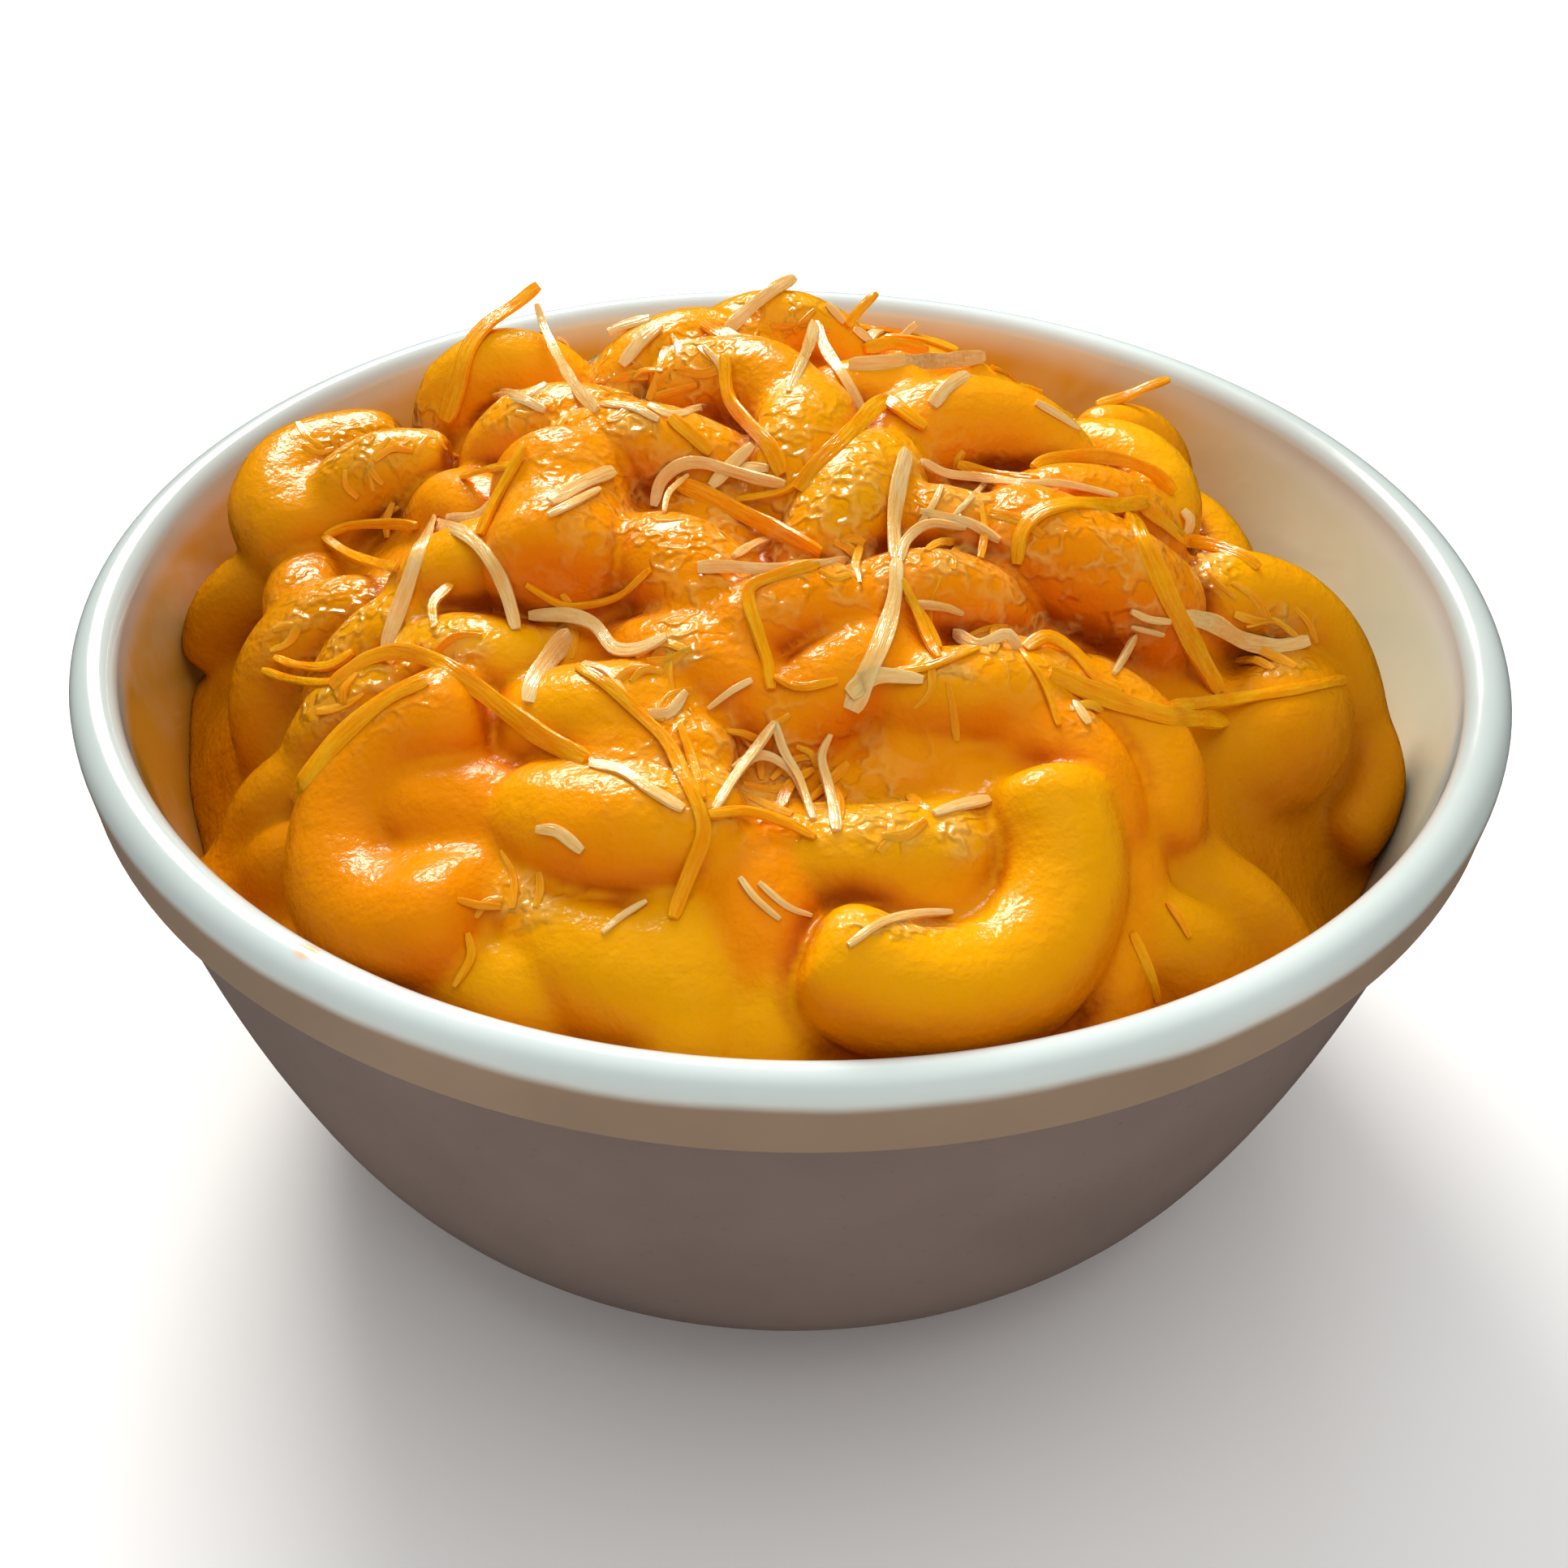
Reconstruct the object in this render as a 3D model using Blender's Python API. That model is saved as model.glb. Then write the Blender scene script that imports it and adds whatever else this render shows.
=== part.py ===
# Macaroni and cheese heaped in a small stoneware bowl.
# Two solids: the bowl, turned from one profile, and the food, an uneven core with the
# elbows and the cheese shreds that show fused onto it.
# Lengths are in millimetres and angles in degrees until MM turns them into metres.
# The origin is the middle of the base, +Z is up, and -Y is the side that faces the viewer.
import math
import random

import bmesh
import bpy
import numpy as np
from mathutils import Vector

MM = 0.001

# Bowl: depths are measured down from the rim's top
HEIGHT = 55.0
LIP_RADIUS = 65.0
LIP_INNER = 60.9
LIP_CROWN = 62.9
LIP_DROP = 2.0
BAND_DEPTH = 6.6
BAND_RADIUS = 64.5
OUTER_WALL = ((8.8, 62.2), (20.0, 60.0), (32.0, 56.6), (43.0, 52.2), (50.5, 46.8), (55.0, 40.5))
INNER_WALL = ((2.0, 60.9), (10.0, 59.2), (20.0, 56.6), (30.0, 53.4), (38.0, 49.6), (44.0, 44.5),
              (48.2, 35.0), (49.5, 20.0))
FOOT_INNER = 36.5
FOOT_RECESS = 1.2
FOOT_SLOPE = 1.0
BOWL_SIDES = 48
LIP_STEPS = 3

# Heap: heights are measured up from the rim's top
PEAK = (-3.0, 8.0)
PEAK_HEIGHT = 19.0
FRONT_EDGE = 0.0
BACK_EDGE = -11.0
SPREAD = 58.5
STEEPNESS = 1.95
HOLLOWS = ((51.0, -24.0, 9.0, 9.0), (-56.0, -20.0, 7.0, 8.0), (44.0, -31.5, 6.0, 5.0))
EDGE_TURN = 1.5
GAP = 0.5
OVER_RIM = 1.0
CORE_DROP = 4.6
CORE_SIDES = 48
CORE_RINGS = 10
CORE_WALL_RINGS = 6
CORE_WALL_SPACING = 1.6
LUMP_HEIGHT = 0.9
LUMP_WAVES = (0.31, 0.27, 0.19, 0.36)

# Elbows: across and along the rim plane, crown above the heap, heading, roll, sweep,
# bend radius, tube radius. Roll 0 bends to the left of the heading, 90 arches up,
# 180 bends to the right and 270 turns both ends up.
ELBOWS = (
    (17.6, -52.3, 2.2, 47, 180, 126, 11.0, 5.0),
    (-35.4, -40.0, 2.4, -95, 180, 165, 8.8, 5.1),
    (-28.5, -38.5, 0.8, -20, 90, 60, 8.0, 6.0),
    (-23.5, -52.5, 0.0, -25, 90, 80, 8.0, 4.6),
    (-13.4, -44.0, 2.0, -8, 130, 50, 9.0, 5.7),
    (-12.5, -54.0, 0.5, -30, 110, 90, 10.0, 5.6),
    (-7.5, -55.0, 0.0, -80, 90, 70, 9.0, 5.2),
    (-19.5, -49.0, -0.5, -60, 90, 60, 9.0, 4.5),
    (-0.5, -56.0, -1.0, 80, 90, 60, 9.0, 4.3),
    (-2.0, -51.0, -0.5, -80, 100, 90, 12.0, 6.0),
    (9.0, -45.5, 0.0, 10, 120, 90, 9.0, 5.0),
    (24.0, -35.5, 0.8, -58, 30, 90, 7.5, 4.4),
    (30.0, -30.5, 0.8, -55, 30, 75, 7.5, 4.6),
    (45.5, -17.0, 2.5, 50, 110, 90, 11.0, 6.6),
    (47.0, -3.5, 3.5, -5, 40, 90, 10.0, 5.0),
    (55.0, -14.0, 0.0, -80, 20, 60, 9.0, 3.8),
    (25.8, -14.0, 3.6, -10, 130, 60, 8.5, 6.0),
    (28.0, -4.0, 2.5, 10, 90, 90, 8.0, 4.2),
    (19.5, 4.5, 2.5, 0, 45, 100, 9.5, 5.2),
    (34.2, 9.0, 2.0, -60, 60, 80, 7.0, 4.6),
    (42.5, 11.0, -0.5, -50, 40, 90, 8.0, 4.5),
    (35.5, 22.0, 2.4, 30, 90, 60, 8.0, 3.6),
    (1.0, -2.5, 1.5, -95, 90, 110, 7.0, 4.7),
    (-3.5, 6.0, 1.5, -40, 45, 90, 8.0, 4.3),
    (-2.0, 20.0, 2.0, 10, 90, 100, 8.0, 4.0),
    (-11.5, 15.0, 1.5, 20, 80, 110, 8.0, 4.6),
    (9.5, 8.0, 0.0, -5, 90, 90, 8.0, 4.2),
    (-30.5, 20.0, 4.9, 0, 90, 140, 5.6, 4.3),
    (-24.0, 5.0, 1.0, -10, 90, 100, 8.0, 4.5),
    (-32.0, -1.0, -1.0, -40, 60, 90, 8.0, 4.3),
    (-46.3, 10.0, 8.2, 60, 45, 120, 6.0, 5.5),
    (-41.0, 6.0, 4.2, 15, 80, 80, 7.0, 4.3),
    (-46.0, -5.0, 1.5, -80, 100, 80, 8.0, 4.2),
    (-53.0, 2.5, 3.5, 0, 90, 50, 9.0, 4.0),
    (-46.5, -12.5, 1.5, 30, 60, 130, 7.0, 4.8),
    (-44.0, -29.0, -1.0, 10, 90, 90, 8.0, 4.6),
    (-41.0, -37.0, -1.5, -10, 100, 80, 8.0, 4.6),
    (-36.5, -26.0, 1.0, 20, 90, 80, 8.0, 4.2),
    (-28.5, -14.0, 1.0, 0, 100, 130, 7.5, 5.0),
    (-28.5, -24.0, 0.0, -20, 100, 80, 8.0, 4.5),
    (-20.6, -12.5, 2.4, 90, 270, 30, 12.0, 6.4),
    (-9.0, -20.0, 0.5, -50, 60, 100, 8.0, 5.0),
    (-15.0, -3.5, 1.5, -20, 110, 80, 8.0, 4.4),
    (-15.5, -33.5, 0.5, 0, 100, 110, 8.0, 5.3),
    (-7.0, -30.0, 0.0, -30, 90, 90, 8.0, 4.4),
    (-0.5, -25.0, 1.0, 25, 50, 130, 7.0, 4.3),
    (4.5, -30.5, 0.0, 40, 80, 90, 8.0, 4.2),
    (16.0, -30.5, 0.8, 8, 110, 60, 8.0, 4.2),
    (12.0, -21.0, 0.5, 10, 90, 90, 8.0, 4.3),
    (6.0, -9.5, 1.0, -110, 90, 90, 8.0, 5.0),
    (15.0, -12.0, 0.0, -10, 90, 90, 8.0, 4.2),
    (39.0, -40.0, -1.0, -20, 90, 45, 8.0, 6.2),
    (31.5, -46.0, -1.0, -20, 90, 40, 8.0, 5.2),
    (25.5, -49.5, -1.5, -75, 90, 50, 8.0, 3.8),
    (27.5, -43.0, -1.0, -85, 100, 40, 9.0, 3.8),
    (22.5, -27.0, -0.5, -10, 90, 100, 8.0, 4.0),
)
TUBE_SIDES = 8
TUBE_STEPS = 5
END_RINGS = ((0.45, 0.86), (0.78, 0.5))
SAMPLE_STEPS = 16
SHARP_ANGLE = 50

# Elbows of the hidden side, by rule
FILLER_SLOTS = 78
FILLER_REACH = 53.0
FILLER_CLEAR = 6.9
FILLER_LIFTS = (-3.0, 0.0)
FILLER_ROLLS = (20, 60, 90, 120, 160)
FILLER_SWEEPS = (80, 130)
FILLER_BENDS = (7.0, 9.0)
FILLER_RADII = (4.2, 5.2)
GOLDEN_TURN = 137.508
FILLER_SEED = 7

# Shreds: width, thickness, then points across and along the rim plane with the height
# over what lies beneath
SHREDS = (
    (2.4, 1.4, (-24, 20, 5), (-28, 19, 2.5), (-32, 17, 0)),
    (2.2, 1.2, (-45.5, -14.5, 0.5), (-39, -19.5, 0.3), (-32, -24, 1), (-25, -31, 1), (-15, -41, 0)),
    (1.8, 1.0, (-34, -17, 0), (-41, -6, 2), (-36, -5, 0.5)),
    (1.8, 1.0, (-18, -30, 0), (-9.5, -38, 0.5), (-6.3, -45, 1), (-8, -52.5, 0)),
    (1.6, 1.0, (-7.5, -31, 0), (-8.8, -38, 0.5)),
    (2.4, 1.3, (-14, -8, 0.5), (-7.5, -13.5, 0.8), (-1.5, -19.5, 0.5), (2, -22, 0)),
    (2.2, 1.2, (17, -29.5, 0.5), (22, -32, 0.5), (28, -31, 0.5), (35.5, -26, 0)),
    (2.2, 1.2, (28.5, -9.5, 0), (30.5, -20, 0.8), (33, -29, 0)),
    (2.0, 1.0, (8, -3, 0.3), (4.5, -9, 0.3), (2.5, -14, 0.5), (-5.5, -16, 0)),
    (2.4, 1.0, (-26, -31, 0.3), (-33.5, -35, 0.5), (-39, -36.5, 0.3)),
    (2.2, 1.2, (15, 10, 0), (23, 8, 0.5), (31, 8, 0)),
    (1.8, 1.0, (-4, -27, 0), (-3, -32.5, 0.6), (-2, -36, 0)),
    (1.8, 1.0, (4, 18, 0), (7, 18, 5)),
    (1.8, 1.0, (-27, -13.5, 0), (-24.5, -8, 1), (-23.5, -4, 2)),
    (1.8, 1.0, (-21, 14, 7), (-20, 8, 2), (-18, 2, 0)),
    (1.6, 1.0, (1, 16, 4), (0, 9, 1.5), (-1, 3, 0)),
    (1.6, 1.0, (1, 16, 4), (3, 6, 1.5), (5.5, -3, 0)),
    (2.2, 1.1, (4.5, 7, 0.5), (16.5, 9, 2.5)),
    (1.6, 1.0, (-11.5, -16.5, 0), (-8.5, -12, 2), (-2, -15, 0)),
    (1.8, 1.0, (8.6, -10, 0.5), (7.8, -18.5, 0.8), (5, -36, 0)),
    (1.6, 1.0, (-7, -24, 0.5), (-1, -24, 0.3)),
    (1.8, 1.0, (-30.5, -12, 0.3), (-32.5, -25, 0.3)),
    (1.8, 1.0, (-27.8, -13.5, 0.3), (-21.5, -27, 0)),
    (1.6, 1.0, (-3, 16, 1), (0, 17, 6)),
)
SHRED_STEPS = 3
SHRED_RISE = 0.1

# Colours and roughness
STONEWARE = ((0.42, 0.38, 0.34), 0.3)
CHEESE_SAUCE = ((0.83, 0.33, 0.01), 0.3)


def smooth_path(points, steps):
    """Points along a smooth curve that passes through the given ones."""
    knots = [Vector(p) for p in points]
    knots = [2 * knots[0] - knots[1]] + knots + [2 * knots[-1] - knots[-2]]
    path = []
    for a, b, c, d in zip(knots, knots[1:], knots[2:], knots[3:]):
        for k in range(steps):
            t = k / steps
            path.append(0.5 * (2 * b + (c - a) * t + (2 * a - 5 * b + 4 * c - d) * t ** 2
                               + (3 * b - a - 3 * c + d) * t ** 3))
    path.append(knots[-2])
    return path


def make_material(name, colour, roughness):
    """A plain glossy or dull material."""
    material = bpy.data.materials.new(name)
    material.use_nodes = True
    shader = material.node_tree.nodes["Principled BSDF"]
    shader.inputs["Base Color"].default_value = (*colour, 1.0)
    shader.inputs["Roughness"].default_value = roughness
    shader.inputs["Metallic"].default_value = 0.0
    return material


def make_object(name, vertices, faces, material=None):
    """A mesh object from points in millimetres."""
    mesh = bpy.data.meshes.new(name)
    mesh.from_pydata([Vector(v) * MM for v in vertices], [], faces)
    mesh.update()
    thing = bpy.data.objects.new(name, mesh)
    bpy.context.scene.collection.objects.link(thing)
    if material:
        mesh.materials.append(material)
    return thing


def lip_arc(centre_radius, reach, start, end):
    """A quarter of an ellipse on the lip, as radius and depth."""
    arc = []
    for k in range(LIP_STEPS + 1):
        angle = math.radians(start + (end - start) * k / LIP_STEPS)
        arc.append((centre_radius + reach * math.cos(angle), LIP_DROP * (1 - math.sin(angle))))
    return arc


def bowl_profile():
    """Radius and height from the middle of the floor, over the lip, to the middle of the foot."""
    inside = [(p.y, p.x) for p in reversed(smooth_path(INNER_WALL, 2))]
    lip_in = lip_arc(LIP_CROWN, LIP_CROWN - LIP_INNER, 180, 90)
    lip_out = lip_arc(LIP_CROWN, LIP_RADIUS - LIP_CROWN, 90, 0)
    outside = [(p.y, p.x) for p in smooth_path(OUTER_WALL, 2)]
    floor_depth = INNER_WALL[-1][0]
    profile = [(0.0, floor_depth)] + inside[:-1] + lip_in + lip_out[1:]
    profile += [(BAND_RADIUS, BAND_DEPTH)] + outside
    foot_depth = HEIGHT - FOOT_RECESS
    profile += [(FOOT_INNER, HEIGHT), (FOOT_INNER - FOOT_SLOPE, foot_depth), (0.0, foot_depth)]
    return [(radius, HEIGHT - depth) for radius, depth in profile]


def make_bowl():
    """The bowl, turned about Z from its profile."""
    profile = bowl_profile()
    edges = [(i, i + 1) for i in range(len(profile) - 1)]
    mesh = bpy.data.meshes.new("bowl")
    mesh.from_pydata([(r * MM, 0.0, z * MM) for r, z in profile], edges, [])
    bowl = bpy.data.objects.new("bowl", mesh)
    bpy.context.scene.collection.objects.link(bowl)
    mesh.materials.append(make_material("stoneware", *STONEWARE))
    turn = bowl.modifiers.new("turn", "SCREW")
    turn.steps = BOWL_SIDES
    turn.render_steps = BOWL_SIDES
    turn.use_merge_vertices = True
    turn.merge_threshold = 0.00001
    turn.use_smooth_shade = True
    return bowl


def cavity_radius(z):
    """How far from the axis the food may reach at a height over the base."""
    depths = [d for d, _ in INNER_WALL]
    radii = [r for _, r in INNER_WALL]
    return float(np.interp(HEIGHT - z, depths, radii)) - GAP


def inside_bowl(point):
    """The point, drawn in so that it stays clear of the wall."""
    x, y, z = point
    reach = math.hypot(x, y)
    limit = cavity_radius(z)
    if z > HEIGHT + OVER_RIM or reach <= limit:
        return Vector((x, y, z))
    return Vector((x * limit / reach, y * limit / reach, z))


def dome(x, y):
    """Height of the smooth heap over the base."""
    dx = x - PEAK[0]
    dy = y - PEAK[1]
    away = math.hypot(dx, dy) + 1e-9
    ux = dx / away
    uy = dy / away
    along = PEAK[0] * ux + PEAK[1] * uy
    to_wall = -along + math.sqrt(along ** 2 - PEAK[0] ** 2 - PEAK[1] ** 2 + SPREAD ** 2)
    share = min(away / to_wall, 1.0)
    facing = max(0.0, -(PEAK[1] + uy * to_wall) / SPREAD)
    edge = BACK_EDGE + (FRONT_EDGE - BACK_EDGE) * facing ** EDGE_TURN
    height = edge + (PEAK_HEIGHT - edge) * (1 - share ** STEEPNESS)
    for hx, hy, width, depth in HOLLOWS:
        height -= depth * math.exp(-((x - hx) ** 2 + (y - hy) ** 2) / width ** 2)
    return HEIGHT + height


def slope_frame(x, y):
    """The heap's point over x, y and its upward normal."""
    step = 1.0
    rise_x = (dome(x + step, y) - dome(x - step, y)) / (2 * step)
    rise_y = (dome(x, y + step) - dome(x, y - step)) / (2 * step)
    return Vector((x, y, dome(x, y))), Vector((-rise_x, -rise_y, 1.0)).normalized()


def elbow_rings(row, steps):
    """Centre, outward, side and along vectors of rings down an elbow's middle line."""
    x, y, lift, heading, roll, sweep, bend, radius = row
    point, up = slope_frame(x, y)
    along = Vector((math.cos(math.radians(heading)), math.sin(math.radians(heading)), 0.0))
    along = (along - up * along.dot(up)).normalized()
    left = up.cross(along)
    bulge = left * math.cos(math.radians(roll)) + up * math.sin(math.radians(roll))
    middle = point + up * (lift - radius)
    side = along.cross(bulge)
    rings = []
    for k in range(steps + 1):
        turn = math.radians(sweep) * (k / steps - 0.5)
        centre = middle + along * bend * math.sin(turn) - bulge * bend * (1 - math.cos(turn))
        outward = along * math.sin(turn) + bulge * math.cos(turn)
        onward = along * math.cos(turn) - bulge * math.sin(turn)
        rings.append((centre, outward, side, onward))
    return rings


def ring_points(centre, outward, side, radius):
    """One ring of a tube."""
    points = []
    for k in range(TUBE_SIDES):
        angle = 2 * math.pi * (k + 0.5) / TUBE_SIDES
        point = centre + (outward * math.cos(angle) + side * math.sin(angle)) * radius
        points.append(inside_bowl(point))
    return points


def make_elbow(name, row):
    """One bent piece of pasta with blunt, sauce-covered ends."""
    radius = row[7]
    rings = elbow_rings(row, TUBE_STEPS)
    loops = []
    centre, outward, side, onward = rings[0]
    for reach, width in reversed(END_RINGS):
        loops.append(ring_points(centre - onward * reach * radius, outward, side, width * radius))
    for centre, outward, side, onward in rings:
        loops.append(ring_points(centre, outward, side, radius))
    for reach, width in END_RINGS:
        loops.append(ring_points(centre + onward * reach * radius, outward, side, width * radius))
    return make_tube(name, loops)


def make_tube(name, loops):
    """A closed skin over a row of equal loops."""
    count = len(loops[0])
    faces = [tuple(reversed(range(count)))]
    for i in range(len(loops) - 1):
        for k in range(count):
            following = (k + 1) % count
            faces.append((i * count + k, i * count + following,
                          (i + 1) * count + following, (i + 1) * count + k))
    last = (len(loops) - 1) * count
    faces.append(tuple(range(last, last + count)))
    tube = make_object(name, [v for loop in loops for v in loop], faces)
    turn_outward(tube.data)
    return tube


def turn_outward(mesh):
    """Make every face look out of its closed body."""
    work = bmesh.new()
    work.from_mesh(mesh)
    bmesh.ops.recalc_face_normals(work, faces=work.faces)
    work.to_mesh(mesh)
    work.free()


def filler_rows():
    """Elbows on a spiral of even spacing, where no placed elbow lies."""
    draw = random.Random(FILLER_SEED)
    taken = [ring[0] for row in ELBOWS for ring in elbow_rings(row, TUBE_STEPS)]
    rows = []
    for k in range(FILLER_SLOTS):
        reach = FILLER_REACH * math.sqrt((k + 0.5) / FILLER_SLOTS)
        angle = math.radians(k * GOLDEN_TURN)
        x = reach * math.cos(angle)
        y = reach * math.sin(angle)
        shape = (draw.uniform(*FILLER_LIFTS), draw.uniform(0, 360), draw.choice(FILLER_ROLLS),
                 draw.uniform(*FILLER_SWEEPS), draw.uniform(*FILLER_BENDS), draw.uniform(*FILLER_RADII))
        if min(math.hypot(c.x - x, c.y - y) for c in taken) > FILLER_CLEAR:
            rows.append((x, y, *shape))
    return rows


def core_height(x, y):
    """Height of the sauced core, a little under the heap and lumpy."""
    a, b, c, d = LUMP_WAVES
    lumps = math.sin(a * x + 1.0) * math.cos(b * y) + 0.6 * math.sin(c * x - d * y)
    return dome(x, y) - CORE_DROP + LUMP_HEIGHT * lumps


def make_core(material):
    """The sauced filling, from the floor of the bowl to just under the elbows."""
    loops = []
    for ring in range(1, CORE_RINGS + 1):
        loops.append([core_point(ring / CORE_RINGS, k) for k in range(CORE_SIDES)])
    floor = HEIGHT - INNER_WALL[-1][0] + GAP
    for ring in range(1, CORE_WALL_RINGS + 1):
        share = 1 - (1 - ring / CORE_WALL_RINGS) ** CORE_WALL_SPACING
        loops.append([wall_point(loops[CORE_RINGS - 1][k], share, floor) for k in range(CORE_SIDES)])
    vertices = [v for loop in loops for v in loop]
    faces = []
    for i in range(len(loops) - 1):
        for k in range(CORE_SIDES):
            following = (k + 1) % CORE_SIDES
            faces.append((i * CORE_SIDES + k, i * CORE_SIDES + following,
                          (i + 1) * CORE_SIDES + following, (i + 1) * CORE_SIDES + k))
    top = len(vertices)
    vertices.append(Vector((0.0, 0.0, core_height(0.0, 0.0))))
    vertices.append(Vector((0.0, 0.0, floor)))
    last = (len(loops) - 1) * CORE_SIDES
    for k in range(CORE_SIDES):
        following = (k + 1) % CORE_SIDES
        faces.append((top, following, k))
        faces.append((top + 1, last + k, last + following))
    core = make_object("macaroni", vertices, faces, material)
    turn_outward(core.data)
    return core


def core_point(share, k):
    """A point on the core's top, a share of the way to the wall."""
    angle = 2 * math.pi * k / CORE_SIDES
    reach = SPREAD * share
    x = reach * math.cos(angle)
    y = reach * math.sin(angle)
    z = core_height(x, y)
    if share == 1.0:
        reach = cavity_radius(z)
    return Vector((reach * math.cos(angle), reach * math.sin(angle), z))


def wall_point(edge, share, floor):
    """A point beside the wall, a share of the way from the core's edge down to the floor."""
    z = edge.z + (floor - edge.z) * share
    reach = cavity_radius(z)
    scale = reach / math.hypot(edge.x, edge.y)
    return Vector((edge.x * scale, edge.y * scale, z))


def heap_height(x, y, tubes):
    """Height of the highest surface over x, y."""
    centres, radii = tubes
    flat = (centres[:, 0] - x) ** 2 + (centres[:, 1] - y) ** 2
    rise = np.sqrt(np.clip(radii ** 2 - flat, 0.0, None))
    tops = np.where(flat < radii ** 2, centres[:, 2] + rise, -1e9)
    return max(float(tops.max()), core_height(x, y))


def tube_samples(rows):
    """Middle-line points and radii of all the elbows."""
    centres = []
    radii = []
    for row in rows:
        for centre, _, _, _ in elbow_rings(row, SAMPLE_STEPS):
            centres.append(tuple(centre))
            radii.append(row[7])
    return np.array(centres), np.array(radii)


def make_shred(name, row, tubes):
    """One strip of grated cheese lying over the pasta."""
    width, thick, *stops = row
    knots = [Vector((x, y, heap_height(x, y, tubes) + lift)) for x, y, lift in stops]
    path = smooth_path(knots, SHRED_STEPS)
    loops = []
    for k, point in enumerate(path):
        low = heap_height(point.x, point.y, tubes)
        centre = Vector((point.x, point.y, max(point.z, low) + SHRED_RISE * thick))
        onward = (path[min(k + 1, len(path) - 1)] - path[max(k - 1, 0)]).normalized()
        side = onward.cross(Vector((0.0, 0.0, 1.0))).normalized()
        up = side.cross(onward)
        corners = ((1, 1), (-1, 1), (-1, -1), (1, -1))
        loops.append([inside_bowl(centre + side * a * width / 2 + up * b * thick / 2) for a, b in corners])
    return make_tube(name, loops)


def keep_largest(mesh):
    """Drop loose scraps and sealed hollows, so that one body is left."""
    work = bmesh.new()
    work.from_mesh(mesh)
    unseen = set(work.verts)
    bodies = []
    while unseen:
        front = [unseen.pop()]
        body = list(front)
        while front:
            vertex = front.pop()
            for edge in vertex.link_edges:
                other = edge.other_vert(vertex)
                if other in unseen:
                    unseen.remove(other)
                    front.append(other)
                    body.append(other)
        bodies.append(body)
    bodies.sort(key=len, reverse=True)
    for body in bodies[1:]:
        bmesh.ops.delete(work, geom=body, context="VERTS")
    bmesh.ops.triangulate(work, faces=work.faces)
    work.to_mesh(mesh)
    work.free()


def fuse(core, pieces):
    """Join the pieces and the core into one solid."""
    group = bpy.data.collections.new("pieces")
    bpy.context.scene.collection.children.link(group)
    for piece in pieces:
        bpy.context.scene.collection.objects.unlink(piece)
        group.objects.link(piece)
    join = core.modifiers.new("join", "BOOLEAN")
    join.operation = "UNION"
    join.operand_type = "COLLECTION"
    join.collection = group
    join.solver = "EXACT"
    join.use_self = True
    seen = core.evaluated_get(bpy.context.evaluated_depsgraph_get())
    whole = bpy.data.meshes.new_from_object(seen)
    core.modifiers.clear()
    core.data = whole
    for piece in pieces:
        bpy.data.objects.remove(piece)
    bpy.data.collections.remove(group)
    keep_largest(whole)
    for face in whole.polygons:
        face.use_smooth = True
    whole.set_sharp_from_angle(angle=math.radians(SHARP_ANGLE))


def make_food():
    """The heap of elbows and shreds on its core."""
    sauce = make_material("cheese_sauce", *CHEESE_SAUCE)
    core = make_core(sauce)
    rows = list(ELBOWS) + filler_rows()
    tubes = tube_samples(rows)
    pieces = [make_elbow(f"elbow_{i}", row) for i, row in enumerate(rows)]
    pieces += [make_shred(f"shred_{i}", row, tubes) for i, row in enumerate(SHREDS)]
    fuse(core, pieces)
    return core


def main():
    for thing in list(bpy.data.objects):
        bpy.data.objects.remove(thing)
    make_bowl()
    make_food()


main()
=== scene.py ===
import math
import random
from functools import partial

import bmesh
import bpy
import numpy as np
from mathutils import Matrix, Vector
from mathutils.bvhtree import BVHTree


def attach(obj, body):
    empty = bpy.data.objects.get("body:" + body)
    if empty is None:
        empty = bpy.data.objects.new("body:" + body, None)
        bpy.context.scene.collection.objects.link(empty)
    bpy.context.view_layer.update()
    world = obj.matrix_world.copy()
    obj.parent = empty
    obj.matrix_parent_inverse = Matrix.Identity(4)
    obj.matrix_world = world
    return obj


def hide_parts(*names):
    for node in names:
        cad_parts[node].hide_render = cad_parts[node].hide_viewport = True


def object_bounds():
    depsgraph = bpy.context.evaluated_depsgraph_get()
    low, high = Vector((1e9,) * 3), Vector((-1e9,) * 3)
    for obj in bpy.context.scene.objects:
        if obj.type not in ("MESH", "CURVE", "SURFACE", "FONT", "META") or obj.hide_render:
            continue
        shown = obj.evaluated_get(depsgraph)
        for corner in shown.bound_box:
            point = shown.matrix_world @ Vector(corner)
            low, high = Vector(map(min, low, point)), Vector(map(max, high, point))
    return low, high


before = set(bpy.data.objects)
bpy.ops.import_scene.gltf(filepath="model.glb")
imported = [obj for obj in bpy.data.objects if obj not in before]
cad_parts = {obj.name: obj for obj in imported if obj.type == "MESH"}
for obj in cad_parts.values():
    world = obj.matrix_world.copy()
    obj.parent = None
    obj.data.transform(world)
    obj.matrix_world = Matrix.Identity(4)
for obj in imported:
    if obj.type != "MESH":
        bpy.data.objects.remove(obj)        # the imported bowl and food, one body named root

MM = 0.001
CAD_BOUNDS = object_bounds()

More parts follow.
